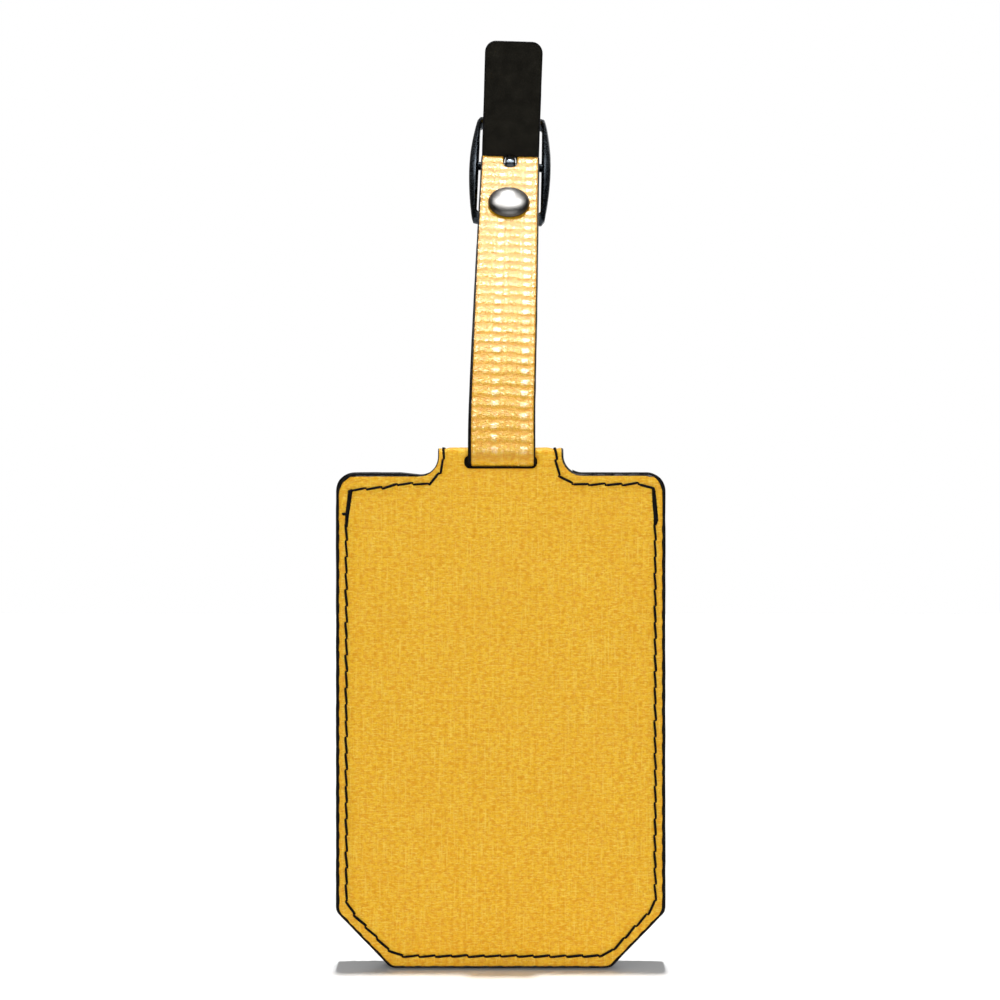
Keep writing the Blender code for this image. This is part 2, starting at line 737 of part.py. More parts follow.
def build_rivet(body):
    matrix = leaned_matrix(*rivet_point(), math.pi / 2 - FOLD_LEAN)
    low = PLY_OUTER + RIVET_GAP
    rim = low + RIVET_RIM_HEIGHT
    socket_radius, socket_depth = RIVET_SOCKET
    cap = [(0, low + socket_depth), (socket_radius, low + socket_depth), (socket_radius, low)]
    cap.append((RIVET_CAP_RADIUS - RIVET_RIM_HEIGHT, low))
    cap.append((RIVET_CAP_RADIUS, low + RIVET_RIM_HEIGHT / 2))
    for step in range(RIVET_DOME_STEPS + 1):
        turn = math.pi / 2 * step / RIVET_DOME_STEPS
        height = (RIVET_CAP_HEIGHT - RIVET_RIM_HEIGHT) * math.sin(turn)
        cap.append((RIVET_CAP_RADIUS * math.cos(turn), rim + height))
    cap[-1] = (0, cap[-1][1])
    back = -TAIL_OFFSET - PLY_OUTER - RIVET_GAP
    end = back - RIVET_BACK_THICKNESS
    post = [(0, low + socket_depth / 2), (RIVET_STEM_RADIUS, low + socket_depth / 2)]
    post += [(RIVET_STEM_RADIUS, back), (RIVET_BACK_RADIUS, back)]
    post += [(RIVET_BACK_RADIUS, (back + end) / 2), (RIVET_BACK_RADIUS - RIVET_BACK_BEVEL, end)]
    post.append((0, end))
    for name, profile in (("rivet_cap", cap), ("rivet_post", post)):
        mesh = turned(profile)
        mesh.transform(matrix)
        place_mesh(name, mesh, NICKEL, body)


# ---- buckle, in its own frame: the bar along X through the origin


def frame_point(distance):
    """The (y, z) point and the lean at a distance up the frame's side from the bar."""
    point = Vector((0.0, 0.0))
    for step in range(FRAME_STEPS):
        lean = frame_lean(distance * (step + 0.5) / FRAME_STEPS)
        point += direction(lean) * distance / FRAME_STEPS
    return point, frame_lean(distance)


def frame_lean(distance):
    return FRAME_LEAN + FRAME_BEND * max(-1.0, min(1.0, distance / FRAME_BEND_LENGTH))


def side_rail(side):
    """One crescent side of the frame, widest at the bar, with a faceted outer face."""
    low, high = FRAME_ENDS
    rings = []
    for station in range(FRAME_STATIONS + 1):
        share = station / FRAME_STATIONS
        distance = low + RAIL_END_INSET + (high - low - 2 * RAIL_END_INSET) * share
        middle, lean = frame_point(distance)
        back = outwards(direction(lean))
        width = FRAME_END_WIDTH + FRAME_BELLY * (1 - (distance / high) ** 2)
        ring = []
        for out, depth in RAIL_SECTION:
            y, z = middle + back * FRAME_HALF_DEPTH * depth
            ring.append((side * (FRAME_INNER_X + out * width), y, z))
        rings.append(ring)
    return lofted(rings)


def end_bar(distance, half_length):
    """One end of the frame: a rounded bar across it at a distance from the middle bar."""
    middle, lean = frame_point(distance)
    up, back = direction(lean), outwards(direction(lean))
    height = END_BAR_HALF_HEIGHT
    corners = rectangle(END_BAR_HALF_DEPTH, -height, height, END_BAR_RADIUS)
    section = [middle + back * point.x + up * point.y for point in rounded(corners)]
    return lofted([[(x, y, z) for y, z in section] for x in (-half_length, half_length)])


def build_buckle_frame(body):
    low, high = FRAME_ENDS
    half_length = FRAME_INNER_X + FRAME_END_WIDTH
    places = (high - END_BAR_HALF_HEIGHT, low + END_BAR_HALF_HEIGHT)
    ends = [end_bar(place_along, half_length) for place_along in places]
    whole = joined(side_rail(1), side_rail(-1), *ends)
    seat = rod(BAR_RADIUS + BAR_CLEARANCE, FRAME_INNER_X + BAR_SEAT + BAR_CLEARANCE)
    place_mesh("buckle_frame", cut(whole, seat), GUNMETAL, body)
    place_mesh("buckle_bar", rod(BAR_RADIUS, FRAME_INNER_X + BAR_SEAT), GUNMETAL, body)


def build_prong(body):
    inner, outer = PRONG_LOOP_RADII
    shaft = curve_through([*map(Vector, PRONG_SHAFT)], *PRONG_DIRECTIONS)
    rings = []
    for i, here in enumerate(shaft):
        along = (shaft[min(i + 1, len(shaft) - 1)] - shaft[max(i - 1, 0)]).normalized()
        share = i / (len(shaft) - 1)
        half = PRONG_HALF_WIDTH * (1 - PRONG_TAPER * share)
        side = outwards(along) * PRONG_HALF_THICKNESS
        front, back = here - side, here + side
        rings.append([(-half, *front), (half, *front), (half, *back), (-half, *back)])
    loop = rod(outer, PRONG_HALF_WIDTH, PRONG_SIDES)
    whole = cut(joined(loop, lofted(rings)), rod(inner, FAR, PRONG_SIDES))
    place_mesh("buckle_prong", whole, GUNMETAL, body)


def main():
    for old in list(bpy.data.objects):
        bpy.data.objects.remove(old, do_unlink=True)
    design = pivot("luggage_tag", -HANDLE_POINT)
    hinge_point = Vector((0.0, 0.0, FOLD_Z))
    tag = (pivot("tag_hinge", hinge_point, design), -hinge_point)
    card = (pivot("card_slide", (0, 0, 0), tag[0]), -hinge_point)
    strap = (pivot("strap_body", (0, 0, 0), design), (0, 0, 0))
    bar_middle = leaned(0, *BAR)
    buckle = (pivot("buckle_hinge", bar_middle, design, (0, STRAP_LEAN, 0)), (0, 0, 0))
    prong = (pivot("prong_hinge", (0, 0, 0), buckle[0]), (0, 0, 0))
    build_cover(tag)
    build_edge_paint(tag)
    build_layers(tag)
    build_window_frame(tag)
    build_stitching(tag)
    card_mesh = prism(rounded(rectangle(CARD_HALF_WIDTH, *CARD_Z, CARD_RADIUS)), *CARD_Y)
    place_mesh("address_card", card_mesh, CARD_WHITE, card)
    build_strap(strap)
    build_rivet(strap)
    build_buckle_frame(buckle)
    build_prong(prong)


main()
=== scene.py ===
"""The luggage tag's looks: woven coated sheets, stitching, painted edges and polished metal.

Lengths are in millimetres in the design frame (X across, Y back, Z up, z = 0 at the tag's
lower edge) and become metres in the row frame when a piece is made.
"""

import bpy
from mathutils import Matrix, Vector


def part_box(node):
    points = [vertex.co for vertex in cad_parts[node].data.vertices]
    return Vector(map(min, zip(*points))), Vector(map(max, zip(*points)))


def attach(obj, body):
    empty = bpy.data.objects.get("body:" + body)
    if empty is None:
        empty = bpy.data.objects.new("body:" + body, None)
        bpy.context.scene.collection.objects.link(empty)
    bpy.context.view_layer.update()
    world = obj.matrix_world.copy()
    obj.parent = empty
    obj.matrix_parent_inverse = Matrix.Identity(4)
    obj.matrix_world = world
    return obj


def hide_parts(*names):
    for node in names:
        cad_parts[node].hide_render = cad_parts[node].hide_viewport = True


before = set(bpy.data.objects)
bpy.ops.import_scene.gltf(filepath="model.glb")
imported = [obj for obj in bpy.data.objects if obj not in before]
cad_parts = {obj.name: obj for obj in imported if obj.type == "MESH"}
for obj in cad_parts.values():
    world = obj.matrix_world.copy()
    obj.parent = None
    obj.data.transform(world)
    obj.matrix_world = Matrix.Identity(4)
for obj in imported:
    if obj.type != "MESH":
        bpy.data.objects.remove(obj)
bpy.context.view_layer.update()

import math

import bmesh
import bpy
import numpy as np
from mathutils import Matrix, Vector
from mathutils.geometry import delaunay_2d_cdt, interpolate_bezier

MM = 0.001
SMOOTH_ANGLE = math.radians(50)
TAG_LOW, TAG_HIGH = (corner / MM for corner in map(Vector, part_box("edge_paint")))
COVER_LOW, COVER_HIGH = (corner / MM for corner in map(Vector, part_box("outer_cover")))
FRAME_LOW, FRAME_HIGH = (corner / MM for corner in map(Vector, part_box("window_frame")))
HALF_WIDTH = TAG_HIGH.x
DESIGN_ORIGIN = Vector((0.0, (COVER_LOW.y + COVER_HIGH.y) / 2, TAG_LOW.z))

# Tag outline
SHOULDER_Z = TAG_HIGH.z - TAG_LOW.z
TAB_HALF_WIDTH = 13.3
CHAMFER_WIDTH = 11.6
CHAMFER_HEIGHT = 12.0
CHAMFER_RADIUS = 2.5
SHOULDER_RADIUS = 4.0
NECK_RADIUS = 4.0
LAYER_RADIUS = 1.0
ABOVE_TAB_Z = 118.0
PAINT_SIDE = 0.7
PAINT_BOTTOM = 0.45
PAINT_SHOULDERS = (0.72, 0.38)
FOLD_OUTER_RADIUS = (COVER_HIGH.y - COVER_LOW.y) / 2
COVER_THICKNESS = 0.9
FOLD_Z = COVER_HIGH.z - TAG_LOW.z - FOLD_OUTER_RADIUS
FRAME_BACK_Y = FRAME_HIGH.y - DESIGN_ORIGIN.y
FRAME_FRONT_Y = FRAME_LOW.y - DESIGN_ORIGIN.y
MOUTH_Z = FRAME_HIGH.z - TAG_LOW.z
SLOT_HALF_WIDTH = 7.75
SLOT_RADIUS = 1.2
SLOT_Z = (FOLD_Z - 3.15, FOLD_Z - 0.3)

# Strap
STRAP_HALF_WIDTH = 7.15
STRAP_X = 0.2
STRAP_LEAN = math.radians(1.9)
LEAN_Z = (FOLD_Z + 2.0, FOLD_Z + 14.0)
BEND_RADIUS = 2.2
FRONT_LEAN = math.radians(15)
REAR_LEAN = math.radians(65)
TIP_RADIUS = 2.7
TAIL_RADIUS = 0.5
BAR = Vector((40.0, 181.5))
FOLD_RADIUS = 2.0
FOLD_LEAN = math.radians(34)
TAIL_LENGTH = 20.5
TAIL_OFFSET = 1.4
TAIL_JOINS_AT = 9.5
RIVET_AT = 15.8
FRONT_RUN = ((22.3, 158.85), (13.2, 145.0), (6.5, 132.7), (1.6, 121.0))
REAR_HANDLES = (24.0, 28.0)
REAR_TOP_LEAN = math.radians(20)
FREE_END = ((37.9, 165.5), (41.6, 174.0), (43.5, 181.5), (43.6, 190.0), (42.4, 199.5), (40.2, 209.8))
TIP_LEAN = math.radians(-12)

# Seams
SEAM_SIDE = 2.25
SEAM_BOTTOM = 2.6
SEAM_WINDOW = 2.2
SEAM_WINDOW_RADIUS = 4.0
SEAM_WINDOW_END = 0.8
SHOULDER_SEAMS = {
    -1: ((-31.85, 101.4), (-30.4, 101.55), (-27.4, 101.75), (-23.7, 102.0), (-22.3, 102.4),
         (-21.0, 102.9), (-18.2, 102.75), (-15.2, 102.6), (-14.0, 103.6), (-13.3, 104.45),
         (-12.6, 105.4), (-11.9, 106.7), (-12.15, 107.9), (-12.05, FOLD_Z)),
    1: ((32.35, 101.6), (31.6, 102.45), (28.7, 102.85), (25.2, 102.5), (21.6, 102.65),
        (17.1, 102.5), (13.4, 103.1), (11.9, 105.1), (11.5, 106.9), (11.8, 108.0),
        (11.5, FOLD_Z)),
}
OPENING_HALF_WIDTH = 24.0
OPENING_Z = (14.0, 87.0)
OPENING_RADIUS = 3.0
THUMB_RADIUS = 10.0
THUMB_DEPTH = 4.0
STITCH_PITCH = 3.45
STITCH_GAP = 0.1
THREAD_RADIUS = 0.26
TACK_FRONT_Z = (94.2, 101.8)
TACK_BACK_Z = (93.6, 97.8)

# Bar-tacks on the front and back, as (height, middle, half width) rows
FRONT_TACKS = {
    -1: ((93.6, -32.7, 0.04), (95.8, -32.6, 0.24), (97.2, -32.4, 0.34), (101.4, -31.85, 0.34)),
    1: ((94.0, 32.75, 0.05), (95.0, 32.9, 0.42), (98.5, 32.6, 0.4), (101.0, 32.4, 0.22),
        (101.9, 32.35, 0.05)),
}
BACK_TACK = ((93.6, 32.75, 0.34), (97.8, 32.75, 0.34))

# The left front bar-tack's loose end, as (x, z, height, radius) points
TACK_TAIL = ((-32.5, 96.4, 0.0, 0.3), (-32.9, 96.3, 0.2, 0.34), (-33.3, 96.3, 0.25, 0.3),
             (-33.55, 96.45, 0.15, 0.18))

# Woven sheets
COVER_STEP = 0.45
STRAP_STEP = 0.3
WEAVE_ROW = 2.6
WEAVE_RELIEF = 0.2
SEAM_SINK = 0.28
SEAM_SINK_WIDTH = 1.1
PUCKER_DEPTH = 0.16
PUCKER_REACH = 2.4
HOLE_DEPTH = 0.3
HOLE_RADIUS = 0.4
EDGE_ROLL = 0.22
EDGE_ROLL_WIDTH = 0.7
WAVE_HEIGHT = 0.07
WAVE_CELLS = (17.0, 8.0)
WAVE_FADE = 6.0
YARN_PITCH = 1.48
CROSSING_DRAWS = 65536
TAG_RELIEF = 0.1
FRAME_WEAVE_OFFSET = (91.0, 57.0)
FOLD_STATIONS = 13
INNER_STEP = 3.0
INNER_MARGIN = 0.6
WEAR_REACH = 0.5
FOLD_LINING_LOW = 101.0
FOLD_LINING_ABOVE = 0.2
FOLD_LINING_INSET = 1.0
FOLD_LINING_HALF = 0.35
FOLD_LINING_RADIUS = 0.5
FOLD_LINING_GRAIN = 0.02
FOLD_LINING_STEPS = (0.5, 1.5)
FOLD_LINING_SLOT = 7.2
# The low edge sits just under the strap's bend, where the black sheet is painted shade inside the slot.
FOLD_LINING_SLOT_Z = (FOLD_Z - 2.5, FOLD_Z - 0.3)
LINING_STEP = 0.45
STRAP_INNER_STEPS = (1.6, 0.7)
STRAP_ROLL = 0.12
STRAP_ROLL_WIDTH = 0.5
STRAP_WAVE = 0.05
STRAP_WAVE_CELL = 9.0
STRAP_WEAVE_OFFSET = 0.4
STRAP_WEAVE_MIDDLE = 0.6
STRAP_LINING_ROLL = 0.1
STRAP_LINING_CREASE = 0.03
CLEAR_STEP = 1.2
CLEAR_RADIUS = 3.0
CLEAR_WAVE = 0.05
CLEAR_WAVE_FADE = 8.0

# The strap's warp yarns across one repeat: 0 shows blocks, 1 two beads a row and 2 one bead
YARN_WIDTHS = (1.15, 1.0, 0.95, 0.8, 1.95, 1.35, 1.05, 1.05, 0.8, 2.05)
YARN_KINDS = (1, 2, 2, 1, 0, 1, 2, 2, 1, 0)

# Stitches and bar-tacks
STITCH_SLANT = 0.17
STITCH_DIVE = 0.22
STITCH_JOG_DROP = 0.08
STITCH_JOG = 0.7
STITCH_SCATTER = 0.06
STITCH_STATIONS = 9
STITCH_NARROWS = 0.12
STITCH_END = 0.85
THREAD_SIDES = 8
THREAD_RISE = 0.75
THREAD_SCATTER = 0.08
TACK_STEP = 0.42
TACK_SINK = 0.15
TACK_SCATTER = 0.25
TACK_LIFT = (0.12, 0.05)
TACK_CORES = (-0.6, 0.1, 0.7)
TACK_CORE_LIFT = 0.05
TACK_CORE_STATIONS = 9

# Painted edges
EDGE_STEP = 0.6
PAINT_FRONT_Y = -1.25
PAINT_BACK_Y = 3.7
PAINT_THIN_Y = 1.25
PAINT_NECK_X = 15.2
PAINT_TAPER_X = (15.5, 21.0)
PAINT_TAPER_Z = 100.0
PAINT_TAPER = 0.85
PAINT_OVERLAP = 0.12
PAINT_ROUGH = 0.05
PAINT_STEP_HEIGHT = 1.6

# The edge bead: its corner as (share outwards, depth behind the face) and its faint ridges
BEAD_CORNER = ((0.0, 0.12), (0.3, -0.03), (0.6, 0.0), (0.85, 0.14), (0.97, 0.4))
BEAD_RIDGES = 9
BEAD_RIDGE = 0.06
BEAD_RIDGES_FROM = 0.7

# The strap's two plies and the painted edge round them
PLY_OUTER = 0.6
PLY_SPLIT = 0.04
STRAP_PAINT = 0.28
STRAP_PAINT_WIDE = 0.62
STRAP_PAINT_WIDENS = (10.0, 4.0)
STRAP_PAINT_WIDE_PAST = 6.0
STRAP_EDGE_START = 0.3
STRAP_PAINT_OVERLAP = 0.1
STRAP_EDGE_HALF = 0.64
STRAP_EDGE_SECTION = (
    (0.0, 0.9), (0.3, 1.0), (0.65, 0.94), (0.9, 0.62), (1.0, 0.2),
    (1.0, -0.2), (0.9, -0.62), (0.65, -0.94), (0.3, -1.0), (0.0, -0.9),
)
STRAP_EDGE_ROUGH = 0.03

# Holes in the strap
RIVET_HOLE_RADIUS = 1.7
NOTCH_HALF_WIDTH = 1.75
NOTCH_REACH = 2.9
PRONG_HOLE_Z = 183.6
PRONG_HOLE_SPACING = 11.0
PRONG_HOLE_COUNT = 4
PRONG_HOLE_HALF_LENGTH = 2.1
PRONG_HOLE_HALF_WIDTH = 1.5

# Rivet
RIVET_CAP_RADIUS = 4.95
RIVET_CAP_HEIGHT = 1.9
RIVET_BACK_RADIUS = 3.8
RIVET_BACK_THICKNESS = 0.7
RIVET_GAP = 0.1
RIVET_DENT = 0.14
RIVET_DENT_RADIUS = 4.4
RIVET_DENT_SLOPE = 0.9
RIVET_POST_RADIUS = 1.4
RIVET_DOME_INSET = 0.12
RIVET_DOME_LOW = 0.32
RIVET_BACK_ROUNDING = 0.5
RIVET_CAP_HOLLOW = 0.1
RIVET_POST_TOP = 0.4
RIVET_CHAMFER = 0.1
RIVET_CROWN = (1.0, 0.03)

# The cap's rolled rim, as (distance out from its radius, height above the strap)
RIVET_RIM = ((-0.5, 0.05), (-0.15, 0.0), (-0.03, 0.07), (0.0, 0.18), (-0.04, 0.29))

# The radius of a turned piece's first and last rings, which stay just open at its axis
NEAR_AXIS = 0.02

# The dimple in the rivet's flat head, as (radius, depth)
RIVET_DIMPLE = ((1.2, 0.0), (1.0, 0.12), (NEAR_AXIS, 0.15))

# Buckle, in a frame whose origin is the middle of its bar
FRAME_INNER_X = 7.75
FRAME_END_WIDTH = 0.7
FRAME_BELLY = 1.6
FRAME_HALF_DEPTH = 1.5
FRAME_ENDS = (-16.5, 17.4)
FRAME_LEAN = math.radians(26.5)
FRAME_BEND = math.radians(6.5)
FRAME_BEND_LENGTH = 5.0
FRAME_CORNER = 0.8
FRAME_SECTION = (
    (0.0, -0.55), (0.1, -0.8), (0.3, -1.0), (0.7, -0.8), (0.93, -0.45), (1.0, -0.1),
    (1.0, 0.4), (0.9, 0.72), (0.65, 0.95), (0.3, 1.0), (0.08, 0.85), (0.0, 0.55),
)
FRAME_INNER_CORNER = 1.0
FRAME_SMOOTH_ANGLE = math.radians(38)
FRAME_STEPS = 24
FRAME_STEP_LENGTH = 0.35
RAIL_REACH = 6.0
RAIL_TOLERANCE = 0.01
END_BAR_HALF_HEIGHT = 1.3
BAR_RADIUS = 1.0
BAR_SEAT = 1.0
BAR_CHAMFER = 0.2
PRONG_HALF_WIDTH = 1.25
PRONG_HALF_THICKNESS = 0.5
PRONG_LOOP_RADII = (1.15, 2.25)
PRONG_SHAFT = ((2.6, 1.3), (4.75, 2.4), (5.85, 5.7), (5.7, 10.2), (5.98, 13.3), (7.0, 15.7))
PRONG_TIP_DIRECTION = Vector((0.4, 0.9))
PRONG_WRAP = (math.radians(-62), math.radians(-208))
PRONG_TAPER = 0.3
PRONG_TIP_STATIONS = 5
PRONG_SIDES = 20
PRONG_SQUARENESS = 0.55
PRONG_STATION = 0.3
STRAP_STATION = 0.5

# Colours
YELLOW = (0.80, 0.465, 0.013)
YELLOW_DEEP = (0.72, 0.325, 0.003)
YELLOW_PALE = (0.86, 0.63, 0.08)
YELLOW_BROWN = (0.58, 0.22, 0.006)

# What varies the fabric's yellow: scale across and along, detail, span, share and colour
FABRIC_PATTERNS = (
    (1.0, 1.0, 3.0, (0.36, 0.6), 1.0, YELLOW),
    (0.8, 3.2, 2.0, (0.5, 0.68), 0.75, YELLOW_PALE),
    (2.6, 0.14, 2.0, (0.56, 0.7), 0.5, YELLOW_PALE),
    (2.6, 2.6, 2.0, (0.52, 0.72), 0.6, YELLOW_BROWN),
    (0.09, 0.09, 2.0, (0.3, 0.7), 0.2, YELLOW_DEEP),
)

LINING_BLACK = (0.0055, 0.005, 0.0034)
LINING_WORN = (0.0115, 0.0105, 0.0075)
EDGE_BLACK = (0.003, 0.0028, 0.0027)
EDGE_WORN = (0.008, 0.0075, 0.008)
THREAD_BLACK = (0.004, 0.004, 0.004)
THREAD_WORN = (0.008, 0.0075, 0.007)
NICKEL = (0.095, 0.093, 0.09)
NICKEL_DULL = (0.06, 0.057, 0.052)
GUNMETAL = (0.032, 0.038, 0.045)
GUNMETAL_DULL = (0.024, 0.027, 0.031)
CLEAR = (0.92, 0.94, 0.95)
CARD_WHITE = (0.86, 0.85, 0.82)
CARD_SHADE = (0.80, 0.79, 0.75)
CARD_INK = (0.12, 0.13, 0.16)
BOARD_GREY = (0.28, 0.25, 0.2)
BOARD_PALE = (0.38, 0.34, 0.28)
RIM_LOW = 1.0
RIM_INNER_X = 9.5
RIM_WIDER = 0.1
RIM_WEAR = (0.5, 0.6)
CARD_LINE_SPACING = 9.0
CARD_LINE_WIDTH = 0.3
CARD_LINE_HALF_LENGTH = 19.0

FLOOR_WHITE = (0.92, 0.92, 0.92)

# Studio: the camera in millimetres of the design frame, the rest in metres of the row frame
CAMERA_POINT = (-0.15, -251.4, 99.3)
CAMERA_LENS = 42.49
FLOOR_SIZE = 0.75
FLOOR_GAP = 0.0003
ROOM_SPAN = (-0.2, 0.5)
ROOM = (0.05, 0.12)
MIRRORED_ROOM = (0.05, 0.2)
SOFTBOX = 27.0
SOFTBOX_HEIGHT = (0.77, 0.89)
SOFTBOX_NEARNESS = (0.1, 0.25)
SOFTBOX_HALF_WIDTH = (0.6, 0.45)
LIGHTS = (
    ("key", (-0.08, -0.42, 0.78), (0.7, 0.7), 0.7, (0.0, -0.03, -0.02)),
    ("fill", (0.1, -1.6, 0.1), (1.6, 1.2), 18.5, (0.0, -0.03, -0.05)),
    ("rear", (0.4, 1.3, 0.55), (1.3, 1.3), 8.0, (0.0, 0.0, -0.02)),
)
OVERHEAD = 2.9
OVERHEAD_SPREAD = math.radians(1.5)
OVERHEAD_LEAN = math.radians(-1.3)


def row_point(x, y, z):
    """A point of the design frame as metres in the row frame."""
    return (Vector((x, y, z)) + DESIGN_ORIGIN) * MM


# ---- outlines


def rounded(corners, closed=True, arc_step=math.radians(6)):
    """The points through corners given as (x, z, radius), with an arc at each radius."""
    points = []
    last = len(corners) - 1
    for i, (x, z, radius) in enumerate(corners):
        here = Vector((x, z))
        if radius == 0 or (not closed and i in (0, last)):
            points.append(here)
            continue
        before = (Vector(corners[i - 1][:2]) - here).normalized()
        after = (Vector(corners[(i + 1) % len(corners)][:2]) - here).normalized()
        half = before.angle(after) / 2
        centre = here + (before + after).normalized() * radius / math.sin(half)
        spoke = here + before * radius / math.tan(half) - centre
        turn = math.pi - 2 * half
        steps = max(3, round(turn / arc_step))
        signed_turn = math.copysign(turn, -before.cross(after))
        for step in range(steps + 1):
            points.append(centre + Matrix.Rotation(signed_turn * step / steps, 2) @ spoke)
    return points


def inset_corners(corners, insets):
    """The corners of a counter-clockwise outline after each edge moved inwards by its own amount."""
    lines = []
    for i, inset in enumerate(insets):
        start = Vector(corners[i][:2])
        along = (Vector(corners[(i + 1) % len(corners)][:2]) - start).normalized()
        lines.append((start + Vector((-along.y, along.x)) * inset, along))
    moved = []
    for i, (_, _, radius) in enumerate(corners):
        (p, u), (q, v) = lines[i - 1], lines[i]
        meeting = p + u * (q - p).cross(v) / u.cross(v)
        moved.append((*meeting, radius))
    return moved


def mirrored(corners):
    return [(-x, z, radius) for x, z, radius in reversed(corners)]


def tag_corners(side=0.0, bottom=0.0, shoulders=(0.0, 0.0)):
    """The tag's corners, counter-clockwise from its lower right, set in along all but the tab."""
    half = [
        (HALF_WIDTH - CHAMFER_WIDTH, 0.0, CHAMFER_RADIUS),
        (HALF_WIDTH, CHAMFER_HEIGHT, CHAMFER_RADIUS),
        (HALF_WIDTH, SHOULDER_Z, SHOULDER_RADIUS),
        (TAB_HALF_WIDTH, SHOULDER_Z, NECK_RADIUS),
        (TAB_HALF_WIDTH, ABOVE_TAB_Z, 0.0),
    ]
    chamfer = (side + bottom) / 2
    left_shoulder, right_shoulder = shoulders
    tab = [0.0] * 3
    insets = [chamfer, side, right_shoulder, *tab, left_shoulder, side, chamfer, bottom]
    return inset_corners(half + mirrored(half), insets)


def cover_corners():
    return tag_corners(PAINT_SIDE, PAINT_BOTTOM, PAINT_SHOULDERS)


def layer_corners(top):
    right = cover_corners()[:2]
    right.append((right[1][0], top, LAYER_RADIUS))
    return right + mirrored(right)


def rectangle(half_width, low, high, radius=0.0):
    right = [(half_width, low, radius), (half_width, high, radius)]
    return right + mirrored(right)


def side_seam(top):
    right = tag_corners(SEAM_SIDE, SEAM_BOTTOM)[:2]
    right.append((HALF_WIDTH - SEAM_SIDE, top, 0.0))
    return rounded(mirrored(right) + right, closed=False)


def shoulder_seam(side):
    return [Vector(point) for point in SHOULDER_SEAMS[side]]


def window_seam():
    half_width = OPENING_HALF_WIDTH + SEAM_WINDOW
    low, high = OPENING_Z[0] - SEAM_WINDOW, OPENING_Z[1] + SEAM_WINDOW
    right = [(SEAM_WINDOW_END, low, 0.0)]
    right += [(half_width, z, SEAM_WINDOW_RADIUS) for z in (low, high)]
    return rounded(right + mirrored(right), closed=False)


# ---- smooth random fields


def value_noise(x, y, cell, seed):
    """Smooth noise in -1..1 at points x, y, with features one cell across."""
    table = np.random.RandomState(seed).uniform(-1, 1, (256, 256))
    u, v = x / cell + 1000.0, y / cell + 1000.0
    i, j = np.floor(u).astype(int), np.floor(v).astype(int)
    fu, fv = u - i, v - j
    fu, fv = fu * fu * (3 - 2 * fu), fv * fv * (3 - 2 * fv)
    low = table[i % 256, j % 256] * (1 - fu) + table[(i + 1) % 256, j % 256] * fu
    high = table[i % 256, (j + 1) % 256] * (1 - fu) + table[(i + 1) % 256, (j + 1) % 256] * fu
    return low * (1 - fv) + high * fv


def pad(fraction, low, high, soft):
    """1 between low and high and 0 outside, with soft shoulders."""
    rise = np.clip((fraction - low) / soft, 0, 1)
    fall = np.clip((high - fraction) / soft, 0, 1)
    both = rise * fall
    return both * both * (3 - 2 * both)


def crossing_strength(column, row, strides, seed):
    """How proud the sheet stands where two yarns cross, 0.5 to 1, from their numbers."""
    draws = np.random.RandomState(seed).uniform(-1, 1, CROSSING_DRAWS)
    return 0.75 + 0.25 * draws[(column * strides[0] + row * strides[1]) % CROSSING_DRAWS]


def weave_height(u, v):
    """Relief in 0..1 of the woven sheet: blocks on the wide warp yarns, beads on the narrow ones."""
    wobble_u = u + 0.12 * value_noise(u, v, 3.0, 11)
    wobble_v = v + 0.16 * value_noise(u, v, 2.2, 12)
    edges = np.concatenate([[0.0], np.cumsum(YARN_WIDTHS)])
    repeat = edges[-1]
    across = np.mod(wobble_u + repeat / 2, repeat)
    yarn = np.clip(np.searchsorted(edges, across, side="right") - 1, 0, len(YARN_WIDTHS) - 1)
    widths, kinds = np.array(YARN_WIDTHS)[yarn], np.array(YARN_KINDS)[yarn]
    fu = (across - edges[yarn]) / widths
    column = np.floor((wobble_u + repeat / 2) / repeat).astype(int) * len(YARN_WIDTHS) + yarn
    shift = np.random.RandomState(5).uniform(-0.06, 0.06, 4096)[column % 4096]
    fv = np.mod(wobble_v / WEAVE_ROW + shift, 1.0)
    row = np.floor(wobble_v / WEAVE_ROW + shift).astype(int)
    strength = crossing_strength(column, row, (131, 17), 6)
    block = pad(fu, 0.04, 0.97, 0.16) * pad(fv, 0.30, 0.94, 0.16)
    beads = pad(fu, 0.08, 0.92, 0.3) * (pad(fv, 0.56, 0.9, 0.16) + 0.85 * pad(fv, 0.12, 0.44, 0.16))
    bead = pad(fu, 0.06, 0.94, 0.3) * pad(fv, 0.48, 0.86, 0.18)
    raised = np.select([kinds == 0, kinds == 1], [block, 0.9 * beads], 0.8 * bead)
    rib = 0.35 * np.sin(math.pi * fv) ** 2
    return np.clip(strength * raised + rib * (1 - raised), 0, 1.2)


def plain_height(u, v):
    """Relief in 0..1 of the tag's finer woven sheet: yarns that pass over and under each other."""
    wobble_u = u + 0.2 * value_noise(u, v, 4.0, 21) + 0.08 * value_noise(u, v, 1.3, 22)
    wobble_v = v + 0.2 * value_noise(u, v, 4.0, 23) + 0.08 * value_noise(u, v, 1.3, 24)
    i, j = np.floor(wobble_u / YARN_PITCH).astype(int), np.floor(wobble_v / YARN_PITCH).astype(int)
    fu, fv = wobble_u / YARN_PITCH - i, wobble_v / YARN_PITCH - j
    over = (i + j) % 2 == 0
    rise_u, rise_v = np.sin(math.pi * fu) ** 0.8, np.sin(math.pi * fv) ** 0.8
    warp = rise_u * (0.55 + 0.45 * np.where(over, rise_v, -rise_v))
    weft = rise_v * (0.5 + 0.4 * np.where(over, -rise_u, rise_u))
    strength = crossing_strength(i, j, (257, 31), 25)
    return np.clip(strength * np.maximum(warp, weft), 0, 1.2)


# ---- distances, and grids cut to a shape


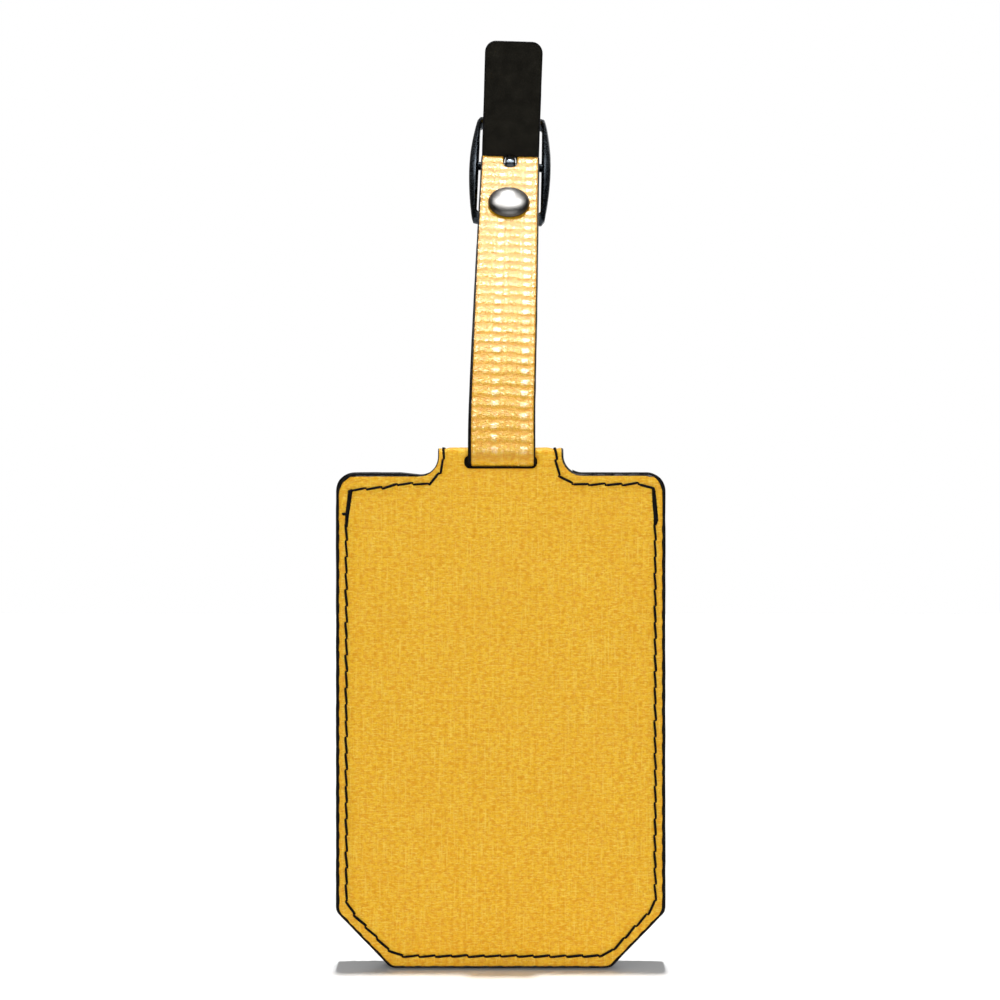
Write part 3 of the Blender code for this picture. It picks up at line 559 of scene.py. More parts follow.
def polygon_depth(x, z, outline):
    """Signed distance of points from a closed outline, positive inside."""
    nearest = np.full(np.shape(x), np.inf)
    inside = np.zeros(np.shape(x), bool)
    for a, b in zip(outline, outline[1:] + outline[:1]):
        edge = b - a
        if edge.length_squared < 1e-12:
            continue
        share = np.clip(((x - a.x) * edge.x + (z - a.y) * edge.y) / edge.length_squared, 0, 1)
        nearest = np.minimum(nearest, np.hypot(x - a.x - share * edge.x, z - a.y - share * edge.y))
        if edge.y:
            inside ^= ((a.y > z) != (b.y > z)) & (x < a.x + (z - a.y) * edge.x / edge.y)
    return np.where(inside, nearest, -nearest)


def path_distance(x, z, path):
    """Distance of points from an open path, and how far along it the nearest place lies."""
    nearest, along = np.full(np.shape(x), np.inf), np.zeros(np.shape(x))
    total = 0.0
    for a, b in zip(path, path[1:]):
        edge = b - a
        if edge.length_squared < 1e-12:
            continue
        share = np.clip(((x - a.x) * edge.x + (z - a.y) * edge.y) / edge.length_squared, 0, 1)
        distance = np.hypot(x - a.x - share * edge.x, z - a.y - share * edge.y)
        along = np.where(distance < nearest, total + share * edge.length, along)
        nearest = np.minimum(nearest, distance)
        total += edge.length
    return nearest, along


def clipped_grid(us, vs, depth):
    """The cells of a grid cut to where depth is positive, as points and polygons."""
    grid = depth(*np.meshgrid(us, vs, indexing="ij"))
    points, index = [], {}

    def vertex(a, b=None):
        key = a if b is None else (min(a, b), max(a, b))
        if key not in index:
            index[key] = len(points)
            if b is None:
                points.append((us[a[0]], vs[a[1]]))
            else:
                (i, j), (k, m) = key
                share = grid[i, j] / (grid[i, j] - grid[k, m])
                points.append((us[i] + (us[k] - us[i]) * share, vs[j] + (vs[m] - vs[j]) * share))
        return index[key]

    polygons = []
    inside = grid > 0
    some = inside[:-1, :-1] | inside[1:, :-1] | inside[1:, 1:] | inside[:-1, 1:]
    for i, j in zip(*np.nonzero(some)):
        i, j = int(i), int(j)
        ring = [(i, j), (i + 1, j), (i + 1, j + 1), (i, j + 1)]
        polygon = []
        for a, b in zip(ring, ring[1:] + ring[:1]):
            if inside[a]:
                polygon.append(vertex(a))
            if inside[a] != inside[b]:
                polygon.append(vertex(a, b))
        if len(polygon) > 2:
            polygons.append(polygon)
    return np.array(points), polygons


def inner_fill(points, border, depth, us, vs):
    """Triangles over the same area as a border, with few points in between them."""
    ends = sorted({a for a, _ in border})
    order = {a: i for i, a in enumerate(ends)}
    coarse_u, coarse_v = np.meshgrid(us, vs, indexing="ij")
    keep = depth(coarse_u, coarse_v) > INNER_MARGIN
    extra = np.column_stack([coarse_u[keep], coarse_v[keep]])
    flat = [Vector(points[i]) for i in ends] + [Vector(p) for p in extra]
    edges = [(order[a], order[b]) for a, b in border]
    made = delaunay_2d_cdt(flat, edges, [], 0, 1e-5, True)
    source = [origins[0] if origins else None for origins in made[3]]
    corners = [[source[i] for i in face] for face in made[2]]
    corners = np.array([each for each in corners if None not in each])
    middle = np.array(flat)[corners].mean(axis=1)
    return ends, extra, corners[depth(middle[:, 0], middle[:, 1]) > 0].tolist()


def linked(name, data):
    """A new object in the scene."""
    made = bpy.data.objects.new(name, data)
    bpy.context.collection.objects.link(made)
    return made


def mesh_object(name, points, faces, looks, smooth_angle=SMOOTH_ANGLE):
    """A mesh from points in millimetres of the design frame."""
    mesh = bpy.data.meshes.new(name)
    mesh.from_pydata([(Vector(p) + DESIGN_ORIGIN) * MM for p in points], [], faces)
    for look in looks:
        mesh.materials.append(look)
    mesh.shade_smooth()
    mesh.set_sharp_from_angle(angle=smooth_angle)
    return linked(name, mesh)


def sheet_object(name, fine, coarse, depth, relief, surface, thickness, looks):
    """A closed thin sheet, cut from a flat (u, v) and laid on a surface.

    depth(u, v) is positive where there is sheet, relief(u, v) gives the outer face's height and
    its weave, and surface(u, v, height) its place. looks are those of its outer face, its inner
    face and its cut edge.
    """
    flat, cells = clipped_grid(*fine, depth)
    directed = {(a, b) for cell in cells for a, b in zip(cell, cell[1:] + cell[:1])}
    border = sorted((a, b) for a, b in directed if (b, a) not in directed)
    ends, extra, triangles = inner_fill(flat, border, depth, *coarse)
    height, weave = relief(flat[:, 0], flat[:, 1])
    inner_flat = np.concatenate([flat[ends], extra])
    outer = surface(flat[:, 0], flat[:, 1], height)
    inner = surface(inner_flat[:, 0], inner_flat[:, 1], np.full(len(inner_flat), -thickness))
    first = len(flat)
    under = {a: first + i for i, a in enumerate(ends)}
    walls = [(b, a, under[a], under[b]) for a, b in border]
    inner_faces = [[first + i for i in reversed(corners)] for corners in oriented(triangles, inner_flat)]
    faces = cells + inner_faces + walls
    made = mesh_object(name, np.concatenate([outer, inner]), faces, looks)
    kinds = [0] * len(cells) + [1] * len(inner_faces) + [2] * len(walls)
    made.data.polygons.foreach_set("material_index", kinds)
    every_flat = np.concatenate([flat, inner_flat])
    write_attribute(made.data, "flat", np.column_stack([every_flat, np.zeros(len(every_flat))]))
    write_attribute(made.data, "relief", np.concatenate([weave, np.zeros(len(inner_flat))]))
    edge = np.exp(-np.clip(depth(every_flat[:, 0], every_flat[:, 1]), 0, None) / WEAR_REACH)
    write_attribute(made.data, "wear", edge)
    return made


def oriented(triangles, flat):
    """The triangles with every one counter-clockwise in the flat."""
    for a, b, c in triangles:
        (ax, ay), (bx, by), (cx, cy) = flat[a], flat[b], flat[c]
        clockwise = (bx - ax) * (cy - ay) < (by - ay) * (cx - ax)
        yield (a, c, b) if clockwise else (a, b, c)


def write_attribute(mesh, name, values):
    kind = "FLOAT" if values.ndim == 1 else "FLOAT_VECTOR"
    made = mesh.attributes.new(name, kind, "POINT")
    made.data.foreach_set("value" if values.ndim == 1 else "vector", values.astype(np.float32).ravel())


def lofted(name, rings, looks, closed_along=False, smooth_angle=SMOOTH_ANGLE):
    """A skin over rings of equal length, capped at both ends unless it closes on itself."""
    sides = len(rings[0])
    points = [point for ring in rings for point in ring]
    faces = []
    count = len(rings)
    for row in range(count if closed_along else count - 1):
        low, high = row * sides, (row + 1) % count * sides
        for i in range(sides):
            j = (i + 1) % sides
            faces.append((low + i, low + j, high + j, high + i))
    if not closed_along:
        faces += [tuple(reversed(range(sides))), tuple(range((count - 1) * sides, count * sides))]
    made = mesh_object(name, points, faces, looks, smooth_angle)
    face_outwards(made.data)
    return made


def face_outwards(mesh):
    shape = bmesh.new()
    shape.from_mesh(mesh)
    bmesh.ops.recalc_face_normals(shape, faces=shape.faces)
    shape.to_mesh(mesh)
    shape.free()


# ---- looks


def new_look(name, base, roughness, **sockets):
    """A material and its node tree, with the sockets of its Principled shader set by name."""
    made = bpy.data.materials.new(name)
    made.use_nodes = True
    shader = made.node_tree.nodes["Principled BSDF"]
    shader.inputs["Base Color"].default_value = (*base, 1)
    shader.inputs["Roughness"].default_value = roughness
    for socket, value in sockets.items():
        shader.inputs[socket.replace("_", " ")].default_value = value
    return made, made.node_tree


def add(tree, kind, sockets=(), output=0, **settings):
    """Adds a shader node, sets or links its sockets, and returns one output."""
    made = tree.nodes.new("ShaderNode" + kind)
    for name, value in settings.items():
        setattr(made, name, value)
    for name, value in dict(sockets).items():
        if isinstance(value, bpy.types.NodeSocket):
            tree.links.new(value, made.inputs[name])
        else:
            made.inputs[name].default_value = value
    return made.outputs[output]


def link(tree, value, socket):
    tree.links.new(value, tree.nodes["Principled BSDF"].inputs[socket])


def attribute(tree, name, output):
    made = tree.nodes.new("ShaderNodeAttribute")
    made.attribute_name = name
    return made.outputs[output]


def flat_place(tree, scale=(1, 1, 1)):
    """The place on the flat sheet, in millimetres times a scale."""
    flat = attribute(tree, "flat", "Vector")
    return add(tree, "VectorMath", {0: flat, 1: scale}, operation="MULTIPLY")


def object_place(tree, scale):
    """The place in the object, in millimetres times a scale."""
    place = add(tree, "TexCoord", output=3)
    return add(tree, "VectorMath", {0: place, 1: [each / MM for each in scale]}, operation="MULTIPLY")


def noise(tree, place, scale, detail):
    return add(tree, "TexNoise", {"Vector": place, "Scale": scale, "Detail": detail})


def spread(tree, value, source, target):
    """The value mapped from one range to another, and held at its ends."""
    sockets = {0: value, 1: source[0], 2: source[1], 3: target[0], 4: target[1]}
    return add(tree, "MapRange", sockets)


def maths(tree, operation, a, b=0.0):
    return add(tree, "Math", {0: a, 1: b}, operation=operation)


def mixed(tree, factor, a, b):
    """Two colours, each given as three numbers or a socket, mixed by a factor."""
    colours = [each if isinstance(each, bpy.types.NodeSocket) else (*each, 1) for each in (a, b)]
    return add(tree, "Mix", {0: factor, 6: colours[0], 7: colours[1]}, output=2, data_type="RGBA")


def blended(tree, pattern, span, a, b, most=1.0):
    """Colour a where a pattern is below a span, changing over it to b, or to most of b."""
    return mixed(tree, spread(tree, pattern, span, (0, most)), a, b)


def bump(tree, height, distance):
    """Adds fine relief to the shader's normal, its height in 0..1 and its depth in millimetres."""
    sockets = {"Height": height, "Distance": distance * MM}
    link(tree, add(tree, "Bump", sockets), "Normal")


def coated_fabric(name, painted_crevice_shade, rough, specular, painted_shade):
    """Yellow coated weave: mottled yarns with painted shade between them, a satin film on top, and an
    even painted shade over the whole sheet where one is asked for.
    """
    made, tree = new_look(name, YELLOW, 0.4)
    colour = YELLOW_DEEP
    for across, along, detail, span, most, yellow in FABRIC_PATTERNS:
        pattern = noise(tree, flat_place(tree, (across, along, 1)), 1.0, detail)
        colour = blended(tree, pattern, span, colour, yellow, most)
    relief = attribute(tree, "relief", "Fac")
    # Painted shade: the colour turns brown where the weave's relief is low, between the yarns.
    colour = blended(tree, relief, (0.35, 0.0), colour, YELLOW_BROWN, painted_crevice_shade)
    wear = attribute(tree, "wear", "Fac")
    colour = mixed(tree, maths(tree, "MULTIPLY", wear, 0.3), colour, YELLOW_BROWN)
    # Painted shade: the whole sheet's colour is mixed towards black by this share, which only the
    # strap's copy uses.
    colour = mixed(tree, painted_shade, colour, EDGE_BLACK)
    link(tree, mixed(tree, painted_rim(tree, wear), colour, EDGE_BLACK), "Base Color")
    grain = noise(tree, flat_place(tree), 2.8, 4.0)
    gloss = spread(tree, maths(tree, "ADD", relief, grain), (0.3, 1.5), rough)
    link(tree, gloss, "Roughness")
    link(tree, spread(tree, relief, (0.3, 0.75), specular), "Specular IOR Level")
    fibres = noise(tree, flat_place(tree, (1.4, 5.0, 1)), 1.0, 3.0)
    bump(tree, maths(tree, "ADD", grain, fibres), 0.09)
    return made


def painted_rim(tree, wear):
    """Where the edge paint runs on up the two sides of the tab and over its fold."""
    u, v = (add(tree, "SeparateXYZ", {0: attribute(tree, "flat", "Vector")}, output=i) for i in (0, 1))
    fold_middle = FOLD_Z + FOLD_OUTER_RADIUS * math.pi / 2
    from_fold = maths(tree, "ABSOLUTE", maths(tree, "SUBTRACT", v, fold_middle))
    on_tab = maths(tree, "LESS_THAN", from_fold, fold_middle - SHOULDER_Z + RIM_LOW)
    at_side = maths(tree, "GREATER_THAN", maths(tree, "ABSOLUTE", u), RIM_INNER_X)
    wider = maths(tree, "MULTIPLY", maths(tree, "SIGN", u), RIM_WIDER)
    near = spread(tree, maths(tree, "ADD", wear, wider), RIM_WEAR, (0, 1))
    return maths(tree, "MULTIPLY", maths(tree, "MULTIPLY", on_tab, at_side), near)


def black_leather(name, on_sheet):
    """Matt black lining with a fine pebbled grain and faint scuffs."""
    made, tree = new_look(name, LINING_BLACK, 0.65, Specular_IOR_Level=0.04)
    place = flat_place(tree) if on_sheet else object_place(tree, (1, 1, 1))
    pebbles = add(tree, "TexVoronoi", {"Vector": place, "Scale": 2.6}, feature="SMOOTH_F1")
    scuffs = noise(tree, place, 0.35, 4.0)
    link(tree, blended(tree, scuffs, (0.35, 0.75), LINING_BLACK, LINING_WORN), "Base Color")
    link(tree, spread(tree, pebbles, (0.1, 0.6), (0.56, 0.72)), "Roughness")
    grain = maths(tree, "MULTIPLY_ADD", noise(tree, place, 6.0, 3.0), 0.4)
    bump(tree, maths(tree, "SUBTRACT", grain, pebbles), 0.05)
    return made


def painted_edge():
    """Glossy black edge paint, a little uneven where it was brushed on."""
    made, tree = new_look("edge_paint_look", EDGE_BLACK, 0.32, Specular_IOR_Level=0.05)
    place = object_place(tree, (1, 1, 1))
    strokes = noise(tree, place, 0.8, 4.0)
    link(tree, spread(tree, strokes, (0.3, 0.7), (0.2, 0.42)), "Roughness")
    link(tree, blended(tree, strokes, (0.45, 0.8), EDGE_BLACK, EDGE_WORN), "Base Color")
    bump(tree, maths(tree, "ADD", strokes, noise(tree, place, 4.0, 2.0)), 0.05)
    return made


def sewing_thread():
    """Black polyester thread, with the fine ridges of its twist."""
    made, tree = new_look("thread_look", THREAD_BLACK, 0.75, Specular_IOR_Level=0.04)
    place = object_place(tree, (1, 1, 1))
    fibres = noise(tree, place, 7.0, 3.0)
    link(tree, blended(tree, fibres, (0.4, 0.8), THREAD_BLACK, THREAD_WORN), "Base Color")
    link(tree, spread(tree, fibres, (0.3, 0.7), (0.62, 0.85)), "Roughness")
    sockets = {"Vector": place, "Scale": 1.6, "Distortion": 1.5}
    twist = add(tree, "TexWave", sockets, bands_direction="DIAGONAL")
    bump(tree, maths(tree, "ADD", maths(tree, "MULTIPLY", twist, 0.5), fibres), 0.06)
    return made


def polished_metal(name, base, dull, roughness, scratch):
    """Plated metal: nearly a mirror, with faint handling marks and fine scratches."""
    made, tree = new_look(name, base, roughness, Metallic=1.0)
    marks = noise(tree, object_place(tree, (1, 1, 1)), 0.5, 4.0)
    scratches = noise(tree, object_place(tree, (0.6, 0.6, 9.0)), 1.0, 3.0)
    link(tree, blended(tree, marks, (0.4, 0.75), base, dull, 0.5), "Base Color")
    uneven = maths(tree, "ADD", marks, scratches)
    link(tree, spread(tree, uneven, (0.7, 1.3), (roughness, roughness + scratch)), "Roughness")
    bump(tree, uneven, 0.01)
    return made


def clear_sheet():
    """The pocket's clear film, slightly hazed where cards have rubbed it."""
    sockets = {"Transmission_Weight": 1.0, "IOR": 1.3}
    made, tree = new_look("clear_sheet_look", CLEAR, 0.06, **sockets)
    haze = noise(tree, object_place(tree, (1, 1, 1)), 0.15, 5.0)
    link(tree, spread(tree, haze, (0.4, 0.8), (0.03, 0.16)), "Roughness")
    bump(tree, noise(tree, object_place(tree, (1, 1, 0.4)), 0.08, 1.0), 0.3)
    return made


def ruled_card():
    """White card stock with plain writing lines."""
    made, tree = new_look("card_look", CARD_WHITE, 0.75)
    place = object_place(tree, (1, 1, 1))
    x, _, z = (add(tree, "SeparateXYZ", {0: place}, output=i) for i in range(3))
    phase = maths(tree, "FRACT", maths(tree, "DIVIDE", z, CARD_LINE_SPACING))
    line = maths(tree, "COMPARE", phase, 0.5)
    tree.nodes[-1].inputs[2].default_value = CARD_LINE_WIDTH / CARD_LINE_SPACING
    across = maths(tree, "LESS_THAN", maths(tree, "ABSOLUTE", x), CARD_LINE_HALF_LENGTH)
    ink = maths(tree, "MULTIPLY", line, across)
    fibres = noise(tree, place, 1.5, 5.0)
    paper = blended(tree, fibres, (0.35, 0.7), CARD_WHITE, CARD_SHADE)
    link(tree, mixed(tree, maths(tree, "MULTIPLY", ink, 0.7), paper, CARD_INK), "Base Color")
    bump(tree, fibres, 0.02)
    return made


def rough_board():
    """Grey fibre board, for the stiffener inside the cover."""
    made, tree = new_look("board_look", BOARD_GREY, 0.9)
    fibres = noise(tree, object_place(tree, (1, 1, 3)), 0.9, 5.0)
    link(tree, mixed(tree, fibres, BOARD_GREY, BOARD_PALE), "Base Color")
    bump(tree, fibres, 0.08)
    return made


# ---- tag body


def front_z(v):
    """The height of a place on the flat cover, which is folded over at the top."""
    turn = np.clip((v - FOLD_Z) / FOLD_OUTER_RADIUS, 0, math.pi)
    beyond = np.clip(v - FOLD_Z - math.pi * FOLD_OUTER_RADIUS, 0, None)
    return np.minimum(v, FOLD_Z) + FOLD_OUTER_RADIUS * np.sin(turn) - beyond


def cover_surface(u, v, height):
    """Points of the cover: up the front, over the fold and down the back."""
    turn = np.clip((v - FOLD_Z) / FOLD_OUTER_RADIUS, 0, math.pi)
    reach = FOLD_OUTER_RADIUS + height
    z = front_z(v) + height * np.sin(turn)
    return np.column_stack([u, -reach * np.cos(turn), z])


def cover_depth(u, v):
    z = front_z(v)
    slot = rounded(rectangle(SLOT_HALF_WIDTH, *SLOT_Z, SLOT_RADIUS))
    return np.minimum(polygon_depth(u, z, rounded(cover_corners())), -polygon_depth(u, z, slot))


def over_fold(path):
    """A path of the front continued over the fold and down the back the same way."""
    top = 2 * FOLD_Z + math.pi * FOLD_OUTER_RADIUS
    return path + [Vector((point.x, top - point.y)) for point in reversed(path)]


def cover_seams():
    paths = [side_seam(TACK_FRONT_Z[0])]
    return paths + [over_fold(shoulder_seam(side)) for side in (-1, 1)]


def seam_relief(u, v, seams):
    """How far the sheet is drawn in along its seams: a channel, deeper at each needle hole."""
    drop = np.zeros(np.shape(u))
    for path in seams:
        distance, along = path_distance(u, v, path)
        phase = math.pi * along / STITCH_PITCH
        hole = np.cos(2 * phase) ** 8 * (np.cos(phase) > 0)
        near = np.exp(-((distance / SEAM_SINK_WIDTH) ** 2))
        tight = np.exp(-((distance / PUCKER_REACH) ** 2))
        pucker = PUCKER_DEPTH * np.cos(2 * phase + 2 * value_noise(u, v, 5.0, 31))
        pricked = HOLE_DEPTH * hole * np.exp(-((distance / HOLE_RADIUS) ** 2))
        drop = np.minimum(drop, -SEAM_SINK * near - pricked)
        drop += -pucker * tight * (1 - near)
    return drop


def sheet_relief(u, v, depth, seams, weave, amount):
    """The outer face's height and its weave, for a sewn sheet with a turned-down edge."""
    rolled = EDGE_ROLL * np.clip(1 - depth / EDGE_ROLL_WIDTH, 0, 1) ** 2
    wide, narrow = WAVE_CELLS
    waves = WAVE_HEIGHT * (value_noise(u, v, wide, 41) + 0.5 * value_noise(u, v, narrow, 42))
    inner = np.clip(depth / WAVE_FADE, 0, 1)
    return seam_relief(u, v, seams) + amount * (weave - 0.5) - rolled + waves * inner


def cover_relief(u, v):
    weave = plain_height(u, v)
    depth = cover_depth(u, v)
    return sheet_relief(u, v, depth, cover_seams(), weave, TAG_RELIEF), weave


def spaced(low, high, step):
    """Evenly spaced values over a range, its ends among them."""
    return np.round(np.linspace(low, high, max(2, round((high - low) / step) + 1)), 6)


def build_cover(looks):
    far = 2 * FOLD_Z + math.pi * FOLD_OUTER_RADIUS
    fine = (spaced(-HALF_WIDTH, HALF_WIDTH, COVER_STEP), spaced(0, far, COVER_STEP))
    fold = np.linspace(FOLD_Z, far - FOLD_Z, FOLD_STATIONS)
    coarse = (spaced(-HALF_WIDTH, HALF_WIDTH, INNER_STEP), np.unique(np.concatenate([
        spaced(0, FOLD_Z, INNER_STEP), fold, spaced(far - FOLD_Z, far, INNER_STEP)])))
    made = sheet_object("woven_cover", fine, coarse, cover_depth, cover_relief, cover_surface,
                        COVER_THICKNESS, looks)
    finish_piece(made, "tag", "coated_fabric", "outer_cover")


def frame_surface(u, v, height):
    return np.column_stack([-u, FRAME_BACK_Y + height, v])


def frame_depth(u, v):
    opening = rounded(rectangle(OPENING_HALF_WIDTH, *OPENING_Z, OPENING_RADIUS))
    thumb = np.hypot(u, v - MOUTH_Z - THUMB_RADIUS + THUMB_DEPTH) - THUMB_RADIUS
    outline = polygon_depth(u, v, rounded(layer_corners(MOUTH_Z)))
    return np.minimum(np.minimum(outline, thumb), -polygon_depth(u, v, opening))


def frame_relief(u, v):
    weave = plain_height(u + FRAME_WEAVE_OFFSET[0], v + FRAME_WEAVE_OFFSET[1])
    seams = [side_seam(TACK_BACK_Z[0]), window_seam()]
    return sheet_relief(u, v, frame_depth(u, v), seams, weave, TAG_RELIEF), weave


def build_window_frame(looks):
    steps = (COVER_STEP, INNER_STEP)
    grids = [(spaced(-HALF_WIDTH, HALF_WIDTH, step), spaced(0, MOUTH_Z, step)) for step in steps]
    made = sheet_object("woven_window_frame", *grids, frame_depth, frame_relief, frame_surface,
                        FRAME_BACK_Y - FRAME_FRONT_Y, looks)
    finish_piece(made, "tag", "coated_fabric", "window_frame")


def build_tab_lining_and_slot_shade(look):
    """Black lining between the two walls of the tab, cut closely round the strap. Just under the strap's
    bend it is painted shade: a black sheet that stands for the shade inside the slot.
    """
    half_width, top = TAB_HALF_WIDTH - FOLD_LINING_INSET, FOLD_Z + FOLD_LINING_ABOVE
    outline = rounded(rectangle(half_width, FOLD_LINING_LOW, top, FOLD_LINING_RADIUS))
    slot = rectangle(FOLD_LINING_SLOT, *FOLD_LINING_SLOT_Z, SLOT_RADIUS)
    slot = rounded([(x + STRAP_X, z, radius) for x, z, radius in slot])

    def depth(u, v):
        return np.minimum(polygon_depth(u, v, outline), -polygon_depth(u, v, slot))

    def relief(u, v):
        return FOLD_LINING_GRAIN * value_noise(u, v, 1.0, 15), np.zeros(np.shape(u))

    def surface(u, v, height):
        return np.column_stack([u, -FOLD_LINING_HALF - height, v])

    across, up = (-half_width, half_width), (FOLD_LINING_LOW, top)
    grids = [(spaced(*across, step), spaced(*up, step)) for step in FOLD_LINING_STEPS]
    thickness = 2 * FOLD_LINING_HALF
    made = sheet_object("tab_lining_and_slot_shade", *grids, depth, relief, surface, thickness, [look] * 3)
    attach(made, "tag")


def finish_piece(made, body, slot, *nodes):
    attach(made, body)
    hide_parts(*nodes)


def resampled(path, step):
    """Points along a path at even steps."""
    total = sum((b - a).length for a, b in zip(path, path[1:]))
    count = max(2, round(total / step))
    return [point_along(path, total * i / count) for i in range(count + 1)]


def point_along(path, distance):
    for a, b in zip(path, path[1:]):
        length = (b - a).length
        if distance <= length:
            return a.lerp(b, distance / length if length else 0.0)
        distance -= length
    return path[-1].copy()


def build_edge_paint(look):
    """A rounded bead round the layers' edges, thin above the pocket and open at the tab.

    It is drawn out to nothing where the left shoulder meets the neck.
    """
    outer, inner = rounded(tag_corners()), rounded(cover_corners())
    pairs = list(zip(outer, inner))
    start = max(range(len(pairs)), key=lambda i: (pairs[i][0].y, pairs[i][0].x > 0))
    pairs = pairs[start:] + pairs[:start]
    stations = []
    for (p, q), (r, s) in zip(pairs, pairs[1:] + pairs[:1]):
        steps = max(1, round((r - p).length / EDGE_STEP))
        stations += [(p.lerp(r, i / steps), q.lerp(s, i / steps)) for i in range(steps)]
    stations = [pair for pair in stations if not (abs(pair[0].x) < PAINT_NECK_X and pair[0].y > MOUTH_Z)]
    gap = max(range(len(stations)), key=lambda i: (stations[i][0] - stations[i - 1][0]).length)
    stations = stations[gap:] + stations[:gap]
    uneven = value_noise(np.arange(len(stations)) * EDGE_STEP, 0.0, 2.5, 51)
    rings = []
    for (p, q), rough in zip(stations, uneven):
        lift = np.clip((p.y - MOUTH_Z) / PAINT_STEP_HEIGHT + 0.5, 0, 1)
        back = PAINT_BACK_Y + (PAINT_THIN_Y - PAINT_BACK_Y) * lift * lift * (3 - 2 * lift)
        p = p + (p - q) * rough * PAINT_ROUGH
        if p.x < 0 and p.y > PAINT_TAPER_Z:
            share = float(np.interp(-p.x, PAINT_TAPER_X, (0, 1)))
            p = p - (p - q) * (1 - share) * PAINT_TAPER
        q = q - (p - q).normalized() * PAINT_OVERLAP
        ring = [(q.lerp(p, share), y) for share, y in paint_section(back)]
        rings.append([(at.x, y, at.y) for at, y in ring])
    made = lofted("painted_edge", rings, [look])
    finish_piece(made, "tag", "edge_paint", "edge_paint")


def paint_section(back):
    """The bead's section as (share outwards, y), with faint ridges where the layers meet."""
    front = PAINT_FRONT_Y
    section = [(share, front + inset) for share, inset in BEAD_CORNER]
    middle = np.linspace(front + BEAD_RIDGES_FROM, back - BEAD_RIDGES_FROM, BEAD_RIDGES)
    section += [(1.0 - BEAD_RIDGE * (i % 2), y) for i, y in enumerate(middle)]
    section += [(share, back - inset) for share, inset in reversed(BEAD_CORNER)]
    return section


# ---- stitching


def tube(shape, centres, radii):
    """Adds a closed round tube through points in millimetres of the design frame."""
    sides = THREAD_SIDES
    rows = []
    for i, centre in enumerate(centres):
        along = (centres[min(i + 1, len(centres) - 1)] - centres[max(i - 1, 0)]).normalized()
        side = along.orthogonal().normalized()
        other = along.cross(side)
        turns = [math.tau * k / sides for k in range(sides)]
        ring = [centre + (side * math.cos(t) + other * math.sin(t)) * radii[i] for t in turns]
        rows.append([shape.verts.new((point + DESIGN_ORIGIN) * MM) for point in ring])
    for low, high in zip(rows, rows[1:]):
        twist = min(range(sides), key=lambda k: (high[k].co - low[0].co).length)
        high[:] = high[twist:] + high[:twist]
        for k in range(sides):
            shape.faces.new((low[k - 1], low[k], high[k], high[k - 1]))
    shape.faces.new(rows[0])
    shape.faces.new(rows[-1])


def thread_object(name, shape, look, *nodes):
    bmesh.ops.recalc_face_normals(shape, faces=shape.faces)
    mesh = bpy.data.meshes.new(name)
    shape.to_mesh(mesh)
    shape.free()
    mesh.materials.append(look)
    mesh.shade_smooth()
    finish_piece(linked(name, mesh), "tag", "thread", *nodes)


def stitch(shape, start, end, surface, relief, seed):
    """One stitch, which lies aslant between needle holes and jogs back as it sinks."""
    draw = np.random.RandomState(seed)
    across = Vector((-(end - start).y, (end - start).x)).normalized()
    first = start - across * (STITCH_SLANT + draw.uniform(-STITCH_SCATTER, STITCH_SCATTER))
    last = end + across * (STITCH_SLANT + draw.uniform(-STITCH_SCATTER, STITCH_SCATTER))
    shares = np.linspace(0, 1, STITCH_STATIONS)
    ends = np.abs(2 * shares - 1)
    flat = [first.lerp(last, share) for share in shares] + [end.lerp(last, -STITCH_JOG)]
    u, v = np.array([p.x for p in flat]), np.array([p.y for p in flat])
    rise = THREAD_RADIUS * THREAD_RISE - STITCH_DIVE * ends ** 7
    rise = np.append(rise, rise[-1] - STITCH_JOG_DROP)
    middle = relief(u, v)[0].mean()
    centres = [Vector(p) for p in surface(u, v, middle + rise)]
    radius = THREAD_RADIUS * (1 + draw.uniform(-THREAD_SCATTER, THREAD_SCATTER))
    tube(shape, centres, radius * np.append(1 - STITCH_NARROWS * ends ** 4, STITCH_END))


def stitch_run(shape, path, surface, relief, seed):
    total = sum((b - a).length for a, b in zip(path, path[1:]))
    count = max(1, round(total / STITCH_PITCH))
    pitch = total / count
    for i in range(count):
        start = point_along(path, i * pitch + STITCH_GAP / 2)
        end = point_along(path, (i + 1) * pitch - STITCH_GAP / 2)
        stitch(shape, start, end, surface, relief, seed + i)


def tack(shape, rows, surface, face_height, seed):
    """A bar-tack: thread laid back and forth across a short stretch of the seam."""
    draw = np.random.RandomState(seed)
    row_z, row_x, row_half = np.array(rows).T
    low, high = row_z[0], row_z[-1]
    count = round((high - low) / TACK_STEP)
    v = np.linspace(low, high, count + 1)
    turn = np.where(np.arange(count + 1) % 2, 1, -1)
    uneven = 1 + draw.uniform(-TACK_SCATTER, TACK_SCATTER, count + 1)
    reach = np.interp(v, row_z, row_half) * turn * uneven
    u = np.interp(v, row_z, row_x) + reach
    lift, swing = TACK_LIFT
    centres = [Vector(p) for p in surface(u, v, face_height + lift + swing * turn)]
    tube(shape, centres, [THREAD_RADIUS] * len(centres))
    core_v = np.linspace(low, high, TACK_CORE_STATIONS)
    for share in TACK_CORES:
        core_u = np.interp(core_v, row_z, row_x) + share * np.interp(core_v, row_z, row_half)
        core = surface(core_u, core_v, np.full(len(core_v), face_height + TACK_CORE_LIFT))
        tube(shape, [Vector(p) for p in core], [THREAD_RADIUS * 0.95] * len(core))


